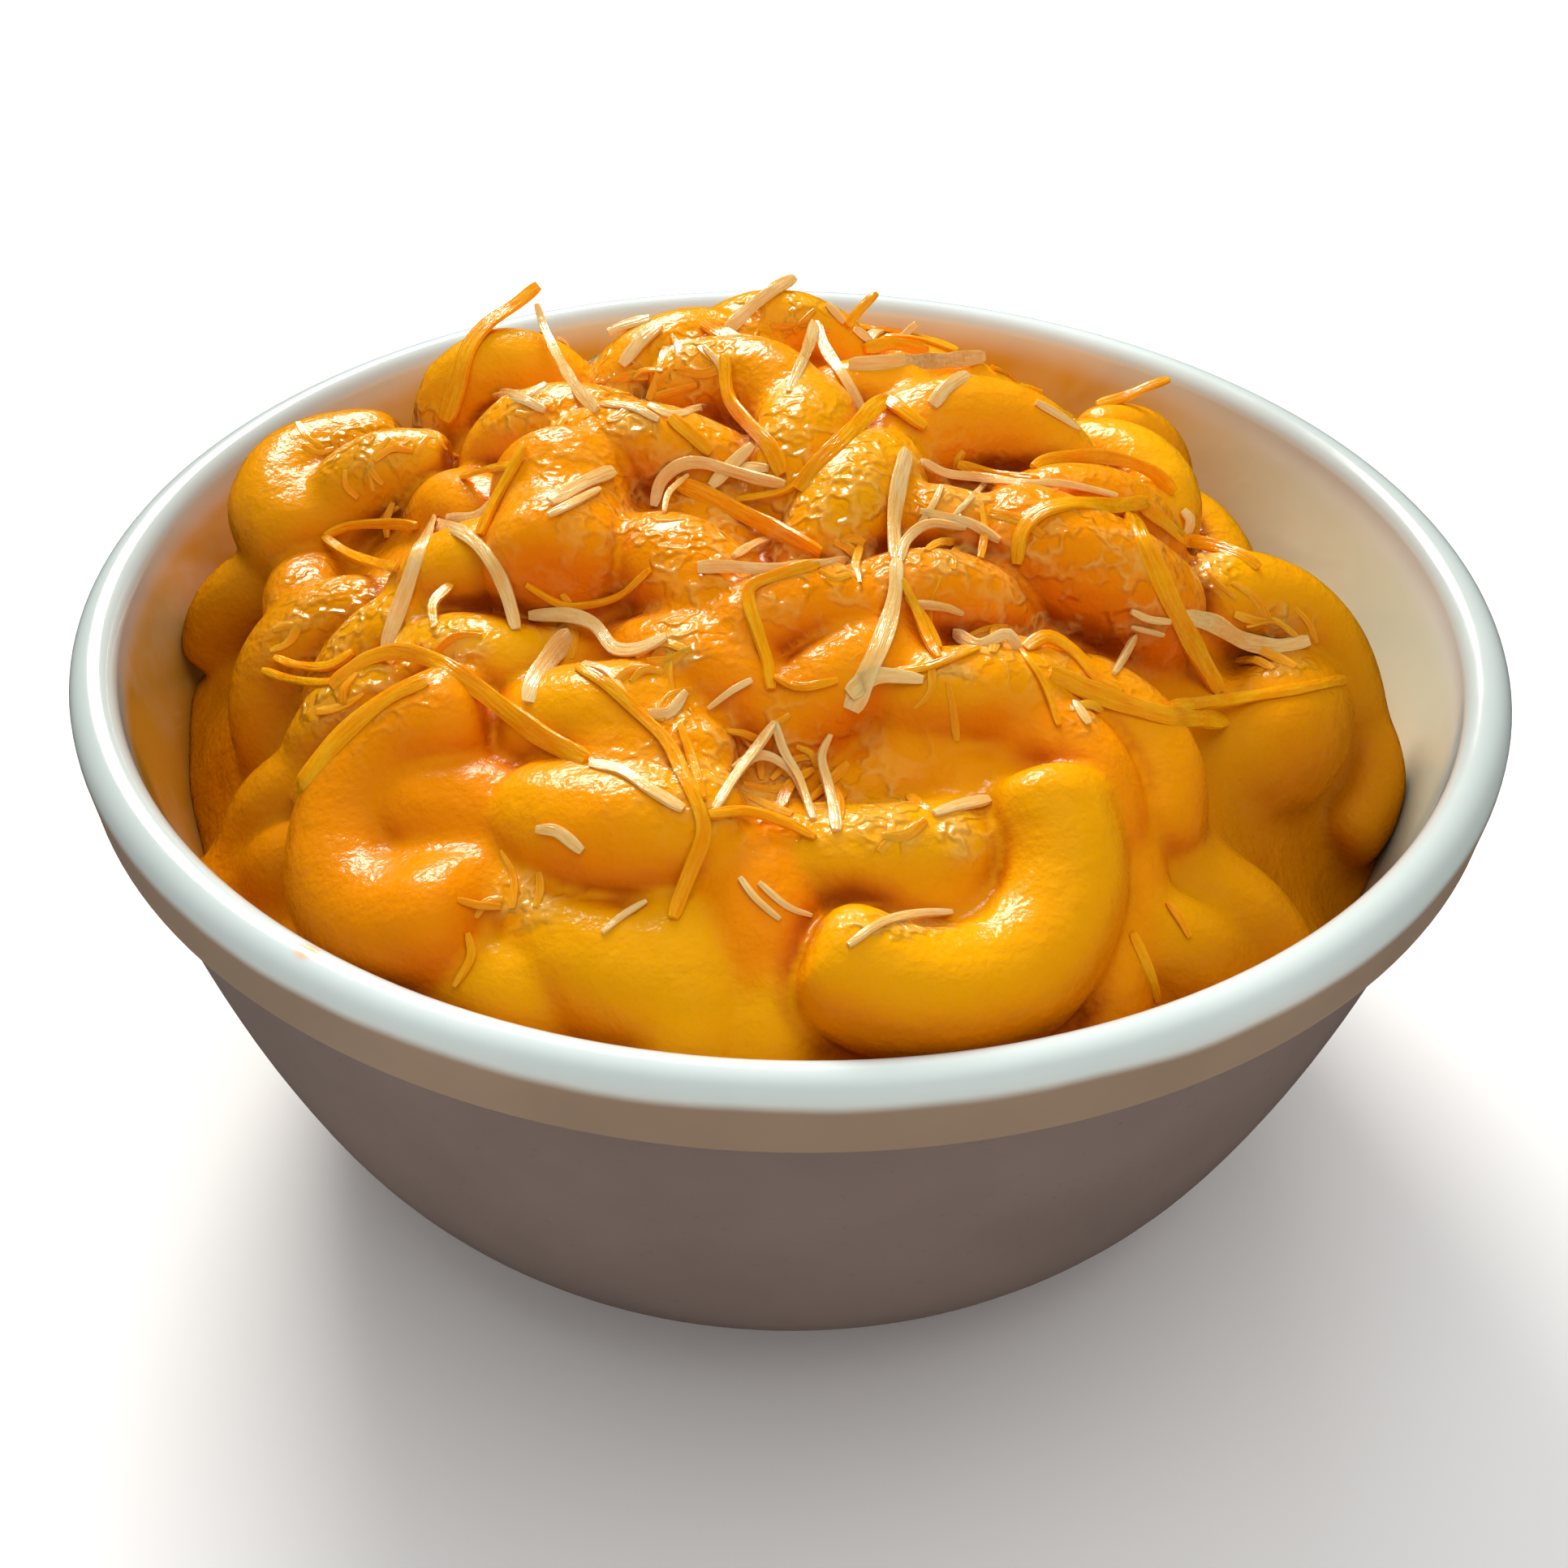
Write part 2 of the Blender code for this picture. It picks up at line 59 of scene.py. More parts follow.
# Bowl, as in the model: depths are measured down from the rim's top
HEIGHT = 55.0
LIP_RADIUS = 65.0
LIP_INNER = 60.9
LIP_CROWN = 62.9
LIP_DROP = 2.0
BAND_DEPTH = 6.6
BAND_RADIUS = 64.5
OUTER_WALL = ((8.8, 62.2), (20.0, 60.0), (32.0, 56.6), (43.0, 52.2), (50.5, 46.8), (55.0, 40.5))
INNER_WALL = ((2.0, 60.9), (10.0, 59.2), (20.0, 56.6), (30.0, 53.4), (38.0, 49.6), (44.0, 44.5),
              (48.2, 35.0), (49.5, 20.0))
FOOT_INNER = 36.5
FOOT_RECESS = 1.2
FOOT_SLOPE = 1.0
BOWL_SIDES = 192
LIP_STEPS = 10
WALL_STEPS = 5
BAND_STEPS = 4
BOWL_CREASE = 50
FLOOR_SHARES = (0.25, 0.6)
GLAZE_EDGE = 1.9
RIM_SPILL = (-34.4, -52.2, 55.0)

# Heap, as in the model: heights are measured up from the rim's top
PEAK = (-3.0, 8.0)
PEAK_HEIGHT = 19.0
FRONT_EDGE = 0.0
BACK_EDGE = -11.0
SPREAD = 58.5
STEEPNESS = 1.95
EDGE_TURN = 1.5
HOLLOWS = ((51.0, -24.0, 9.0, 9.0), (-56.0, -20.0, 7.0, 8.0), (44.0, -31.5, 6.0, 5.0))
CORE_DROP = 4.6
LUMP_HEIGHT = 0.9
LUMP_WAVES = (0.31, 0.27, 0.19, 0.36)

# Elbows, as in the model: across and along the rim plane, crown above the heap, heading,
# roll, sweep, bend radius, tube radius
ELBOWS = (
    (17.6, -52.3, 2.2, 47, 180, 126, 11, 5), (-35.4, -40, 2.4, -95, 180, 165, 8.8, 5.1),
    (-28.5, -38.5, 0.8, -20, 90, 60, 8, 6), (-23.5, -52.5, 0, -25, 90, 80, 8, 4.6),
    (-13.4, -44, 2, -8, 130, 50, 9, 5.7), (-12.5, -54, 0.5, -30, 110, 90, 10, 5.6),
    (-7.5, -55, 0, -80, 90, 70, 9, 5.2), (-19.5, -49, -0.5, -60, 90, 60, 9, 4.5),
    (-0.5, -56, -1, 80, 90, 60, 9, 4.3), (-2, -51, -0.5, -80, 100, 90, 12, 6),
    (9, -45.5, 0, 10, 120, 90, 9, 5), (24, -35.5, 0.8, -58, 30, 90, 7.5, 4.4),
    (30, -30.5, 0.8, -55, 30, 75, 7.5, 4.6), (45.5, -17, 2.5, 50, 110, 90, 11, 6.6),
    (47, -3.5, 3.5, -5, 40, 90, 10, 5), (55, -14, 0, -80, 20, 60, 9, 3.8),
    (25.8, -14, 3.6, -10, 130, 60, 8.5, 6), (28, -4, 2.5, 10, 90, 90, 8, 4.2),
    (19.5, 4.5, 2.5, 0, 45, 100, 9.5, 5.2), (34.2, 9, 2, -60, 60, 80, 7, 4.6),
    (42.5, 11, -0.5, -50, 40, 90, 8, 4.5), (35.5, 22, 2.4, 30, 90, 60, 8, 3.6),
    (1, -2.5, 1.5, -95, 90, 110, 7, 4.7), (-3.5, 6, 1.5, -40, 45, 90, 8, 4.3),
    (-2, 20, 2, 10, 90, 100, 8, 4), (-11.5, 15, 1.5, 20, 80, 110, 8, 4.6),
    (9.5, 8, 0, -5, 90, 90, 8, 4.2), (-30.5, 20, 4.9, 0, 90, 140, 5.6, 4.3),
    (-24, 5, 1, -10, 90, 100, 8, 4.5), (-32, -1, -1, -40, 60, 90, 8, 4.3),
    (-46.3, 10, 8.2, 60, 45, 120, 6, 5.5), (-41, 6, 4.2, 15, 80, 80, 7, 4.3),
    (-46, -5, 1.5, -80, 100, 80, 8, 4.2), (-53, 2.5, 3.5, 0, 90, 50, 9, 4),
    (-46.5, -12.5, 1.5, 30, 60, 130, 7, 4.8), (-44, -29, -1, 10, 90, 90, 8, 4.6),
    (-41, -37, -1.5, -10, 100, 80, 8, 4.6), (-36.5, -26, 1, 20, 90, 80, 8, 4.2),
    (-28.5, -14, 1, 0, 100, 130, 7.5, 5), (-28.5, -24, 0, -20, 100, 80, 8, 4.5),
    (-20.6, -12.5, 2.4, 90, 270, 30, 12, 6.4), (-9, -20, 0.5, -50, 60, 100, 8, 5),
    (-15, -3.5, 1.5, -20, 110, 80, 8, 4.4), (-15.5, -33.5, 0.5, 0, 100, 110, 8, 5.3),
    (-7, -30, 0, -30, 90, 90, 8, 4.4), (-0.5, -25, 1, 25, 50, 130, 7, 4.3),
    (4.5, -30.5, 0, 40, 80, 90, 8, 4.2), (16, -30.5, 0.8, 8, 110, 60, 8, 4.2),
    (12, -21, 0.5, 10, 90, 90, 8, 4.3), (6, -9.5, 1, -110, 90, 90, 8, 5),
    (15, -12, 0, -10, 90, 90, 8, 4.2), (39, -40, -1, -20, 90, 45, 8, 6.2),
    (31.5, -46, -1, -20, 90, 40, 8, 5.2), (25.5, -49.5, -1.5, -75, 90, 50, 8, 3.8),
    (27.5, -43, -1, -85, 100, 40, 9, 3.8), (22.5, -27, -0.5, -10, 90, 100, 8, 4),
)
FILLER_SLOTS = 78
FILLER_REACH = 53.0
FILLER_CLEAR = 6.9
FILLER_LIFTS = (-3.0, 0.0)
FILLER_ROLLS = (20, 60, 90, 120, 160)
FILLER_SWEEPS = (80, 130)
FILLER_BENDS = (7.0, 9.0)
FILLER_RADII = (4.2, 5.2)
FILLER_STEPS = 5
GOLDEN_TURN = 137.508
FILLER_SEED = 7

# Sauce that fills the hollows between elbows, in the same terms
FILLS = (
    (11.0, -49.0, -1.6, 0, 90, 20, 8.0, 5.5),
    (18.5, -38.0, -2.0, 0, 90, 20, 8.0, 5.0),
    (-27.5, -46.0, 0.9, 0, 90, 20, 8.0, 5.0),
    (-11.0, -38.0, 0.0, 0, 90, 20, 8.0, 5.0),
)
FILL_WEB = 1.4
FILL_TINT = 0.4

# Grown surface of the heap
CELL = 0.58
GRID_LOW = (-61.5, -61.5, 26.0)
GRID_HIGH = (61.5, 61.5, 77.0)
FAR = 9.0
BOX_MARGIN = 5.0
BLUNT = 3.2
ELBOW_WEB = 0.8
SAUCE_WEB = 1.5
CREASE_DEPTH = 0.4
CORE_SLOPE = 0.85
CORE_TINT = 0.35
WALL_REACH = 0.15
WALL_FILLET = 0.5
NEAR_WALL = 1.0
SETTLE_ROUNDS = 2
LEAST_SLOPE = 0.2
SKIRT_DEPTH = 9.0
SKIRT_RINGS = 6
SKIRT_CURVE = 1.6
CREVICE_REACHES = (1.2, 2.4, 3.6, 5.0)
NOISE_LAYERS = ((7.0, 0.26, 11), (2.6, 0.13, 12))
TINT_SEED = 5
TINTS = {0: 0.85, 1: 0.2, 2: 0.05, 4: 0.55, 5: 0.95, 6: 0.9, 9: 0.15, 13: 0.6, 14: 0.8, 16: 0.15, 22: 0.7,
         30: 0.8, 40: 0.35, 43: 0.6, 51: 0.7, 52: 0.8}
FLAT_ENDS = (13, 33, 42)
FLAT_BLUNT = 7.0
FLAT_REACH = 0.85

# Melted cheese: middle and reach of each patch in the photo's pixels, and its number of strands
MELTED = (
    (850, 455, 60, 45, 12), (770, 470, 45, 35, 6), (960, 390, 60, 25, 6), (450, 560, 55, 35, 9),
    (480, 625, 25, 15, 2), (380, 765, 40, 12, 2), (400, 870, 35, 20, 2), (560, 790, 40, 30, 2),
    (690, 780, 20, 20, 2), (835, 800, 35, 45, 5), (830, 880, 25, 15, 2), (955, 960, 60, 50, 12),
    (1095, 1010, 40, 40, 4), (1185, 1030, 30, 30, 0), (1110, 1140, 60, 14, 0), (1040, 690, 50, 25, 5),
    (1180, 615, 50, 35, 7), (1170, 690, 45, 25, 3), (1215, 790, 40, 18, 3), (1170, 830, 30, 15, 2),
    (1490, 700, 30, 30, 2), (1585, 770, 30, 25, 4), (1580, 820, 40, 12, 2), (1335, 880, 15, 20, 1),
    (650, 1110, 40, 30, 4), (520, 520, 40, 20, 3), (780, 520, 50, 20, 3), (650, 510, 50, 25, 3),
)
HALF_MELTED = ((950, 640, 340, 170), (1330, 720, 170, 160), (430, 800, 130, 130), (950, 950, 200, 100))
MELT_AROUND = 0.5
STRAND_WIDTHS = (0.5, 1.0)
STRAND_LIFTS = (-0.25, 0.0)
STRAND_PIXELS = (28, 75)
STRAND_LONGEST = 7.0
MELT_LUMPS = (1.7, 0.3, 13)

# Shreds, as measured in the photo: width at both ends and height over the heap at both ends, in
# tenths of a millimetre, then points along the middle line in the photo's pixels
CHEDDAR = (
    (15, 26, 4, 1, 664, 352, 636, 375, 600, 400, 577, 430, 562, 475, 548, 518),
    (8, 13, 6, 2, 646, 551, 625, 590, 606, 625, 591, 660),
    (6, 6, 1, 1, 648, 720, 690, 744, 725, 745, 765, 733, 802, 702),
    (13, 13, 2, 2, 826, 515, 850, 535, 876, 558),
    (15, 16, 3, 2, 833, 593, 880, 615, 930, 640, 970, 660, 1012, 682),
    (12, 14, 4, 2, 893, 438, 898, 488, 922, 521, 950, 552, 964, 585),
    (19, 15, 1, 9, 985, 605, 1003, 580, 1040, 543, 1073, 507, 1094, 492),
    (15, 12, 9, 2, 1094, 492, 1115, 508, 1140, 527),
    (6, 6, 2, 2, 908, 617, 968, 604, 1004, 577),
    (10, 10, 2, 1, 1008, 695, 955, 710, 922, 729, 934, 780, 945, 815, 950, 850),
    (8, 6, 2, 1, 955, 835, 987, 847, 1032, 838),
    (12, 18, 2, 1, 408, 846, 430, 828, 455, 812, 493, 804, 535, 814, 572, 838, 620, 872, 665, 905, 722,
     938),
    (7, 7, 4, 1, 326, 826, 355, 836, 395, 842, 420, 838),
    (7, 9, 4, 2, 340, 811, 368, 820, 405, 821, 435, 803),
    (19, 14, 1, 3, 365, 985, 390, 945, 430, 900, 480, 860, 527, 838),
    (9, 12, 3, 1, 712, 822, 750, 845, 790, 882, 822, 915, 842, 955, 862, 1000, 866, 1030, 852, 1068, 838,
     1105, 829, 1132),
    (6, 8, 4, 3, 838, 893, 853, 935, 867, 985),
    (9, 7, 3, 1, 872, 1004, 920, 1000, 970, 1015, 1005, 1032),
    (8, 8, 2, 1, 1112, 715, 1127, 747, 1143, 787, 1158, 812),
    (7, 7, 2, 1, 1118, 735, 1140, 765, 1158, 800),
    (16, 19, 3, 1, 1392, 632, 1418, 690, 1445, 748, 1475, 805, 1502, 852),
    (14, 12, 4, 1, 1405, 622, 1435, 645, 1464, 670),
    (11, 11, 1, 1, 1262, 800, 1290, 785, 1322, 803, 1352, 835, 1382, 852),
    (16, 16, 2, 3, 1292, 828, 1345, 852, 1395, 870, 1448, 884, 1508, 888),
    (12, 10, 3, 1, 1440, 872, 1520, 862, 1590, 851, 1655, 838),
    (14, 13, 5, 1, 1412, 619, 1370, 624, 1322, 621, 1282, 631, 1259, 657, 1253, 695),
    (12, 13, 4, 2, 1273, 577, 1300, 565, 1345, 562, 1390, 569, 1425, 585, 1446, 608),
    (13, 11, 3, 2, 1462, 665, 1500, 674, 1532, 686, 1551, 700),
    (6, 6, 2, 1, 1258, 803, 1278, 830, 1293, 860, 1305, 895),
    (7, 6, 1, 2, 1095, 829, 1140, 823, 1180, 809, 1206, 800),
    (11, 9, 2, 10, 1043, 402, 1060, 381, 1080, 361),
    (13, 13, 2, 2, 1064, 430, 1100, 424, 1142, 432),
    (14, 11, 2, 1, 868, 400, 910, 420, 952, 437, 990, 441),
    (12, 9, 1, 5, 1352, 500, 1385, 490, 1412, 478, 1440, 468),
    (8, 10, 2, 2, 400, 660, 430, 648, 470, 645, 515, 648),
    (8, 10, 2, 2, 400, 662, 425, 680, 455, 692, 490, 700),
    (7, 7, 1, 2, 570, 588, 605, 578, 640, 572),
    (10, 8, 1, 1, 1180, 572, 1230, 585, 1280, 592),
    (9, 7, 1, 1, 1395, 1150, 1412, 1190, 1425, 1232),
    (6, 6, 1, 1, 1438, 1112, 1455, 1135, 1466, 1155),
    (6, 6, 1, 1, 575, 1150, 580, 1180, 560, 1215),
)
PALE = (
    (7, 12, 6, 2, 661, 376, 672, 408, 690, 445, 712, 480, 736, 506),
    (13, 13, 6, 3, 677, 618, 715, 597, 755, 580),
    (7, 7, 4, 3, 675, 635, 702, 622, 738, 603),
    (11, 10, 4, 3, 806, 624, 815, 592, 838, 573, 865, 570, 900, 580, 935, 590, 968, 597),
    (5, 5, 3, 3, 818, 632, 824, 608, 846, 586),
    (11, 12, 4, 7, 876, 600, 901, 573, 928, 549),
    (10, 10, 6, 4, 914, 577, 946, 577),
    (12, 7, 4, 1, 859, 699, 895, 698, 945, 702, 1000, 697, 1042, 690),
    (7, 8, 2, 3, 903, 686, 925, 673, 946, 665),
    (16, 12, 7, 3, 1117, 556, 1107, 598, 1101, 645, 1105, 690),
    (11, 19, 3, 1, 1105, 690, 1102, 735, 1088, 785, 1068, 830, 1048, 875),
    (12, 8, 6, 2, 1003, 398, 996, 425, 984, 455, 972, 484),
    (12, 9, 6, 2, 1004, 398, 1018, 432, 1040, 465, 1063, 506),
    (16, 15, 3, 9, 1046, 450, 1100, 448, 1150, 446, 1212, 440),
    (13, 12, 3, 10, 895, 408, 925, 379, 955, 356, 979, 343),
    (10, 11, 6, 2, 749, 410, 775, 400, 801, 393),
    (13, 12, 3, 4, 766, 450, 790, 421, 814, 401),
    (15, 13, 2, 3, 534, 640, 517, 680, 503, 720, 488, 762, 475, 800),
    (11, 12, 4, 1, 535, 645, 565, 654, 590, 672, 611, 700, 626, 735, 636, 776),
    (10, 8, 3, 3, 552, 638, 588, 636, 612, 612),
    (15, 20, 1, 2, 651, 866, 664, 832, 684, 802, 702, 784),
    (12, 11, 3, 5, 652, 758, 700, 758, 732, 770, 756, 798, 785, 800, 822, 784),
    (8, 6, 2, 1, 720, 818, 748, 828, 773, 862),
    (10, 9, 2, 2, 798, 880, 825, 878, 844, 853),
    (9, 10, 3, 1, 728, 941, 765, 950, 800, 972, 842, 997),
    (9, 9, 1, 0.5, 662, 1022, 688, 1025, 718, 1049),
    (5, 5, 1, 1, 742, 1150, 768, 1128, 796, 1111),
    (5, 6, 3, 3, 872, 874, 900, 852, 926, 838),
    (16, 10, 1, 1, 1045, 856, 1075, 834, 1110, 834, 1138, 838),
    (7, 9, 1, 2, 880, 998, 905, 957, 934, 919, 955, 890),
    (7, 6, 3, 1, 955, 890, 966, 925, 985, 960, 1002, 1010),
    (9, 6, 1, 1, 903, 948, 938, 930, 975, 950, 996, 992),
    (5, 10, 3, 1, 1023, 905, 1012, 932, 1020, 966, 1028, 1000, 1031, 1024),
    (6, 5, 1, 0, 912, 1082, 932, 1108, 961, 1133),
    (5, 5, 1, 0, 935, 1088, 970, 1117, 999, 1128),
    (9, 6, 2, 1, 1135, 569, 1165, 583, 1210, 588, 1260, 596, 1312, 597, 1376, 611),
    (5, 5, 5, 3, 1216, 594, 1196, 615, 1175, 636),
    (8, 8, 3, 2, 1134, 630, 1165, 637, 1196, 645, 1232, 666),
    (9, 7, 1, 2, 1109, 692, 1118, 664, 1146, 645, 1190, 650),
    (6, 5, 3, 2, 1160, 600, 1150, 622, 1128, 655),
    (11, 10, 2, 3, 1177, 780, 1206, 795, 1240, 782, 1254, 800),
    (8, 6, 1, 0, 1128, 744, 1163, 748, 1186, 756),
    (9, 7, 2, 1, 1276, 496, 1300, 510, 1328, 528),
    (15, 12, 2, 2, 1148, 500, 1166, 478, 1192, 462),
    (8, 10, 3, 8, 1110, 417, 1129, 400),
    (9, 9, 3, 3, 1052, 405, 1065, 415, 1079, 428),
    (9, 9, 3, 3, 1019, 375, 1040, 398),
    (10, 9, 4, 2, 1457, 629, 1466, 642, 1461, 660),
    (16, 15, 1, 1, 1458, 759, 1495, 768, 1530, 788, 1572, 797, 1612, 789),
    (7, 7, 3, 2, 1393, 753, 1415, 763, 1441, 766),
    (5, 5, 3, 2, 1393, 772, 1433, 782),
    (7, 6, 1, 1, 1398, 784, 1385, 808, 1372, 831),
    (8, 8, 1, 1, 1324, 866, 1341, 893),
    (9, 10, 2, 1, 1150, 1003, 1185, 992, 1219, 985),
    (7, 6, 1, 1, 1045, 1165, 1085, 1138, 1130, 1126, 1172, 1124),
    (10, 8, 2, 2, 610, 487, 645, 493, 672, 506),
    (8, 8, 2, 1, 618, 482, 650, 487, 672, 474),
    (9, 8, 2, 2, 800, 500, 830, 512, 868, 500),
    (8, 7, 2, 2, 742, 498, 780, 503, 812, 518),
    (6, 6, 1, 2, 868, 428, 885, 446, 896, 470),
)
PHOTO_STEP = 7.0
SHRED_STEP = 0.5
SHRED_SIDES = 8
SHRED_SINK = 0.3
SHRED_FACING = 1.2
SHRED_CREASE = 38
SHRED_SLACK = 0.012
SHRED_TWIST = 18
SHRED_TURN = 30
SIDE_ROUNDING = 0.35
TOP_ROUNDING = 0.3
SWELL = (0.08, 0.8)
TAUT_ROUNDS = 60
LINE_ROUNDS = 3
NORMAL_ROUNDS = 14
PASS_RANGE = (120.0, 250.0, 1.0)
TIP_LENGTH = 1.2
TIP_WIDTH = 0.65
TOP_LIMIT = CAD_BOUNDS[1][2] / MM - 1.0
GRAIN_STRETCH = (3.0, 3.0, 0.3)

# Shreds on the far side, which the photo doesn't show
STRAY_SHREDS = 22
STRAY_REACH = 44.0
STRAY_LIMIT = 52.0
STRAY_NEAREST = 22.0
STRAY_LENGTHS = (5, 14)
STRAY_WIDTHS = (0.9, 1.6)
STRAY_START = 0.2
STRAY_LIFTS = (0.1, 0.5)
STRAY_BEND = 50

# Cheeses: piece, material, thickness, seed, light and dark colour, and glow
CHEESES = (
    ("cheddar_shreds", "cheddar_cheese", 0.5, 31, (255, 180, 5), (252, 154, 0), (1.0, 0.7, 0.2)),
    ("pale_shreds", "pale_cheese", 0.4, 32, (252, 214, 146), (246, 192, 108), (1.0, 0.8, 0.6)),
    ("melted_strands", "melted_cheese", 0.35, 33, (255, 182, 40), (250, 152, 8), (1.0, 0.7, 0.2)),
)

# Camera: the photo's frame and where the rim's middle lies in it, in pixels
PHOTO_SIZE = 1932
FOCAL_PIXELS = 2391.0
RIM_MIDDLE = (971.0, 708.0)
VIEW_DISTANCE = 182.0
VIEW_HEIGHT = 32.0
VIEW_ROLL = -1.3
SENSOR = 36.0

# Lights, in metres: name, place, size, power, tone, and whether the gloss shows it
LIGHTS = (
    ("sky", (-0.15, 0.75, 0.62), (0.9, 0.6), 3.8, (0.95, 0.98, 1.0), False),
    ("window", (-0.24, 0.72, 0.6), (0.44, 0.3), 8.5, (1.0, 0.96, 0.88), True),
    ("overhead", (0.1, -0.05, 0.9), (0.8, 0.8), 3.2, (1.0, 0.98, 0.95), False),
    ("fill", (0.25, -0.9, 0.45), (0.7, 0.5), 1.6, (1.0, 0.88, 0.76), False),
)
LIGHT_TARGET = (0, 0, 0.05)
ROOM_TONE = (0.95, 0.97, 1.0, 1.0)
ROOM_STRENGTH = 0.36
FLOOR_REACH = 900
FLOOR_GAP = 0.2


def smooth_path(points, steps):
    """Points along a smooth curve that passes through the given ones."""
    knots = [Vector(p) for p in points]
    knots = [2 * knots[0] - knots[1]] + knots + [2 * knots[-1] - knots[-2]]
    path = []
    for a, b, c, d in zip(knots, knots[1:], knots[2:], knots[3:]):
        for k in range(steps):
            t = k / steps
            path.append(0.5 * (2 * b + (c - a) * t + (2 * a - 5 * b + 4 * c - d) * t ** 2
                               + (3 * b - a - 3 * c + d) * t ** 3))
    path.append(knots[-2])
    return path


def add_mesh(name, vertices, faces):
    """A smooth-shaded mesh object from points in millimetres."""
    mesh = bpy.data.meshes.new(name)
    points = np.asarray(vertices, dtype=np.float64) * MM
    mesh.from_pydata(points.tolist(), [], faces)
    mesh.update()
    mesh.shade_smooth()
    thing = bpy.data.objects.new(name, mesh)
    bpy.context.scene.collection.objects.link(thing)
    return thing


# Bowl


def lip_arc(reach, start, end):
    """A quarter of an ellipse on the lip, as radius and depth."""
    arc = []
    for k in range(LIP_STEPS + 1):
        angle = math.radians(start + (end - start) * k / LIP_STEPS)
        arc.append((LIP_CROWN + reach * math.cos(angle), LIP_DROP * (1 - math.sin(angle))))
    return arc


def bowl_profile():
    """Radius and height from the middle of the floor, over the lip, to the middle of the foot."""
    inside = [(p.y, p.x) for p in reversed(smooth_path(INNER_WALL, WALL_STEPS))]
    lip_in = lip_arc(LIP_CROWN - LIP_INNER, 180, 90)
    lip_out = lip_arc(LIP_RADIUS - LIP_CROWN, 90, 0)
    outside = [(p.y, p.x) for p in smooth_path(OUTER_WALL, WALL_STEPS)]
    step_top = (BAND_RADIUS, BAND_DEPTH)
    step = [(p.x, p.y) for p in smooth_path((
        (LIP_RADIUS, LIP_DROP + 0.5), (BAND_RADIUS + 0.1, BAND_DEPTH - 0.6), step_top,
        (BAND_RADIUS - 0.9, BAND_DEPTH + 0.9), (OUTER_WALL[0][1] + 0.3, OUTER_WALL[0][0] - 0.5)), BAND_STEPS)]
    foot_depth = HEIGHT - FOOT_RECESS
    middle = [(share * INNER_WALL[-1][1], INNER_WALL[-1][0]) for share in FLOOR_SHARES]
    profile = middle + inside[:-1] + lip_in + lip_out[1:] + step + outside
    profile += [(FOOT_INNER, HEIGHT), (FOOT_INNER - FOOT_SLOPE, foot_depth), (FOOT_INNER / 2, foot_depth)]
    return [(radius, HEIGHT - depth) for radius, depth in profile]


def make_bowl():
    """The bowl, turned from its profile with many sides."""
    profile = bowl_profile()
    vertices = []
    for radius, height in profile:
        for k in range(BOWL_SIDES):
            angle = 2 * math.pi * k / BOWL_SIDES
            vertices.append((radius * math.cos(angle), radius * math.sin(angle), height))
    faces = []
    for i in range(len(profile) - 1):
        for k in range(BOWL_SIDES):
            following = (k + 1) % BOWL_SIDES
            faces.append((i * BOWL_SIDES + k, (i + 1) * BOWL_SIDES + k,
                          (i + 1) * BOWL_SIDES + following, i * BOWL_SIDES + following))
    centres = len(vertices)
    last = (len(profile) - 1) * BOWL_SIDES
    vertices.append((0.0, 0.0, profile[0][1]))
    vertices.append((0.0, 0.0, profile[-1][1]))
    for k in range(BOWL_SIDES):
        following = (k + 1) % BOWL_SIDES
        faces.append((centres, k, following))
        faces.append((centres + 1, last + following, last + k))
    bowl = add_mesh("glazed_bowl", vertices, faces)
    bowl.data.set_sharp_from_angle(angle=math.radians(BOWL_CREASE))
    return bowl


def wall_radius(z):
    """The bowl's inner radius at heights over its base."""
    depths = [d for d, _ in INNER_WALL]
    radii = [r for _, r in INNER_WALL]
    return np.interp(HEIGHT - z, depths, radii)


# Heap


def dome(x, y):
    """Height of the smooth heap over the base."""
    dx = x - PEAK[0]
    dy = y - PEAK[1]
    away = np.hypot(dx, dy) + 1e-9
    ux = dx / away
    uy = dy / away
    along = PEAK[0] * ux + PEAK[1] * uy
    to_wall = -along + np.sqrt(along ** 2 - PEAK[0] ** 2 - PEAK[1] ** 2 + SPREAD ** 2)
    share = np.minimum(away / to_wall, 1.0)
    facing = np.maximum(0.0, -(PEAK[1] + uy * to_wall) / SPREAD)
    edge = BACK_EDGE + (FRONT_EDGE - BACK_EDGE) * facing ** EDGE_TURN
    height = edge + (PEAK_HEIGHT - edge) * (1 - share ** STEEPNESS)
    for hx, hy, width, depth in HOLLOWS:
        height = height - depth * np.exp(-((x - hx) ** 2 + (y - hy) ** 2) / width ** 2)
    return HEIGHT + height


def core_height(x, y):
    """Height of the sauced core, a little under the heap and lumpy."""
    a, b, c, d = LUMP_WAVES
    lumps = np.sin(a * x + 1.0) * np.cos(b * y) + 0.6 * np.sin(c * x - d * y)
    return dome(x, y) - CORE_DROP + LUMP_HEIGHT * lumps


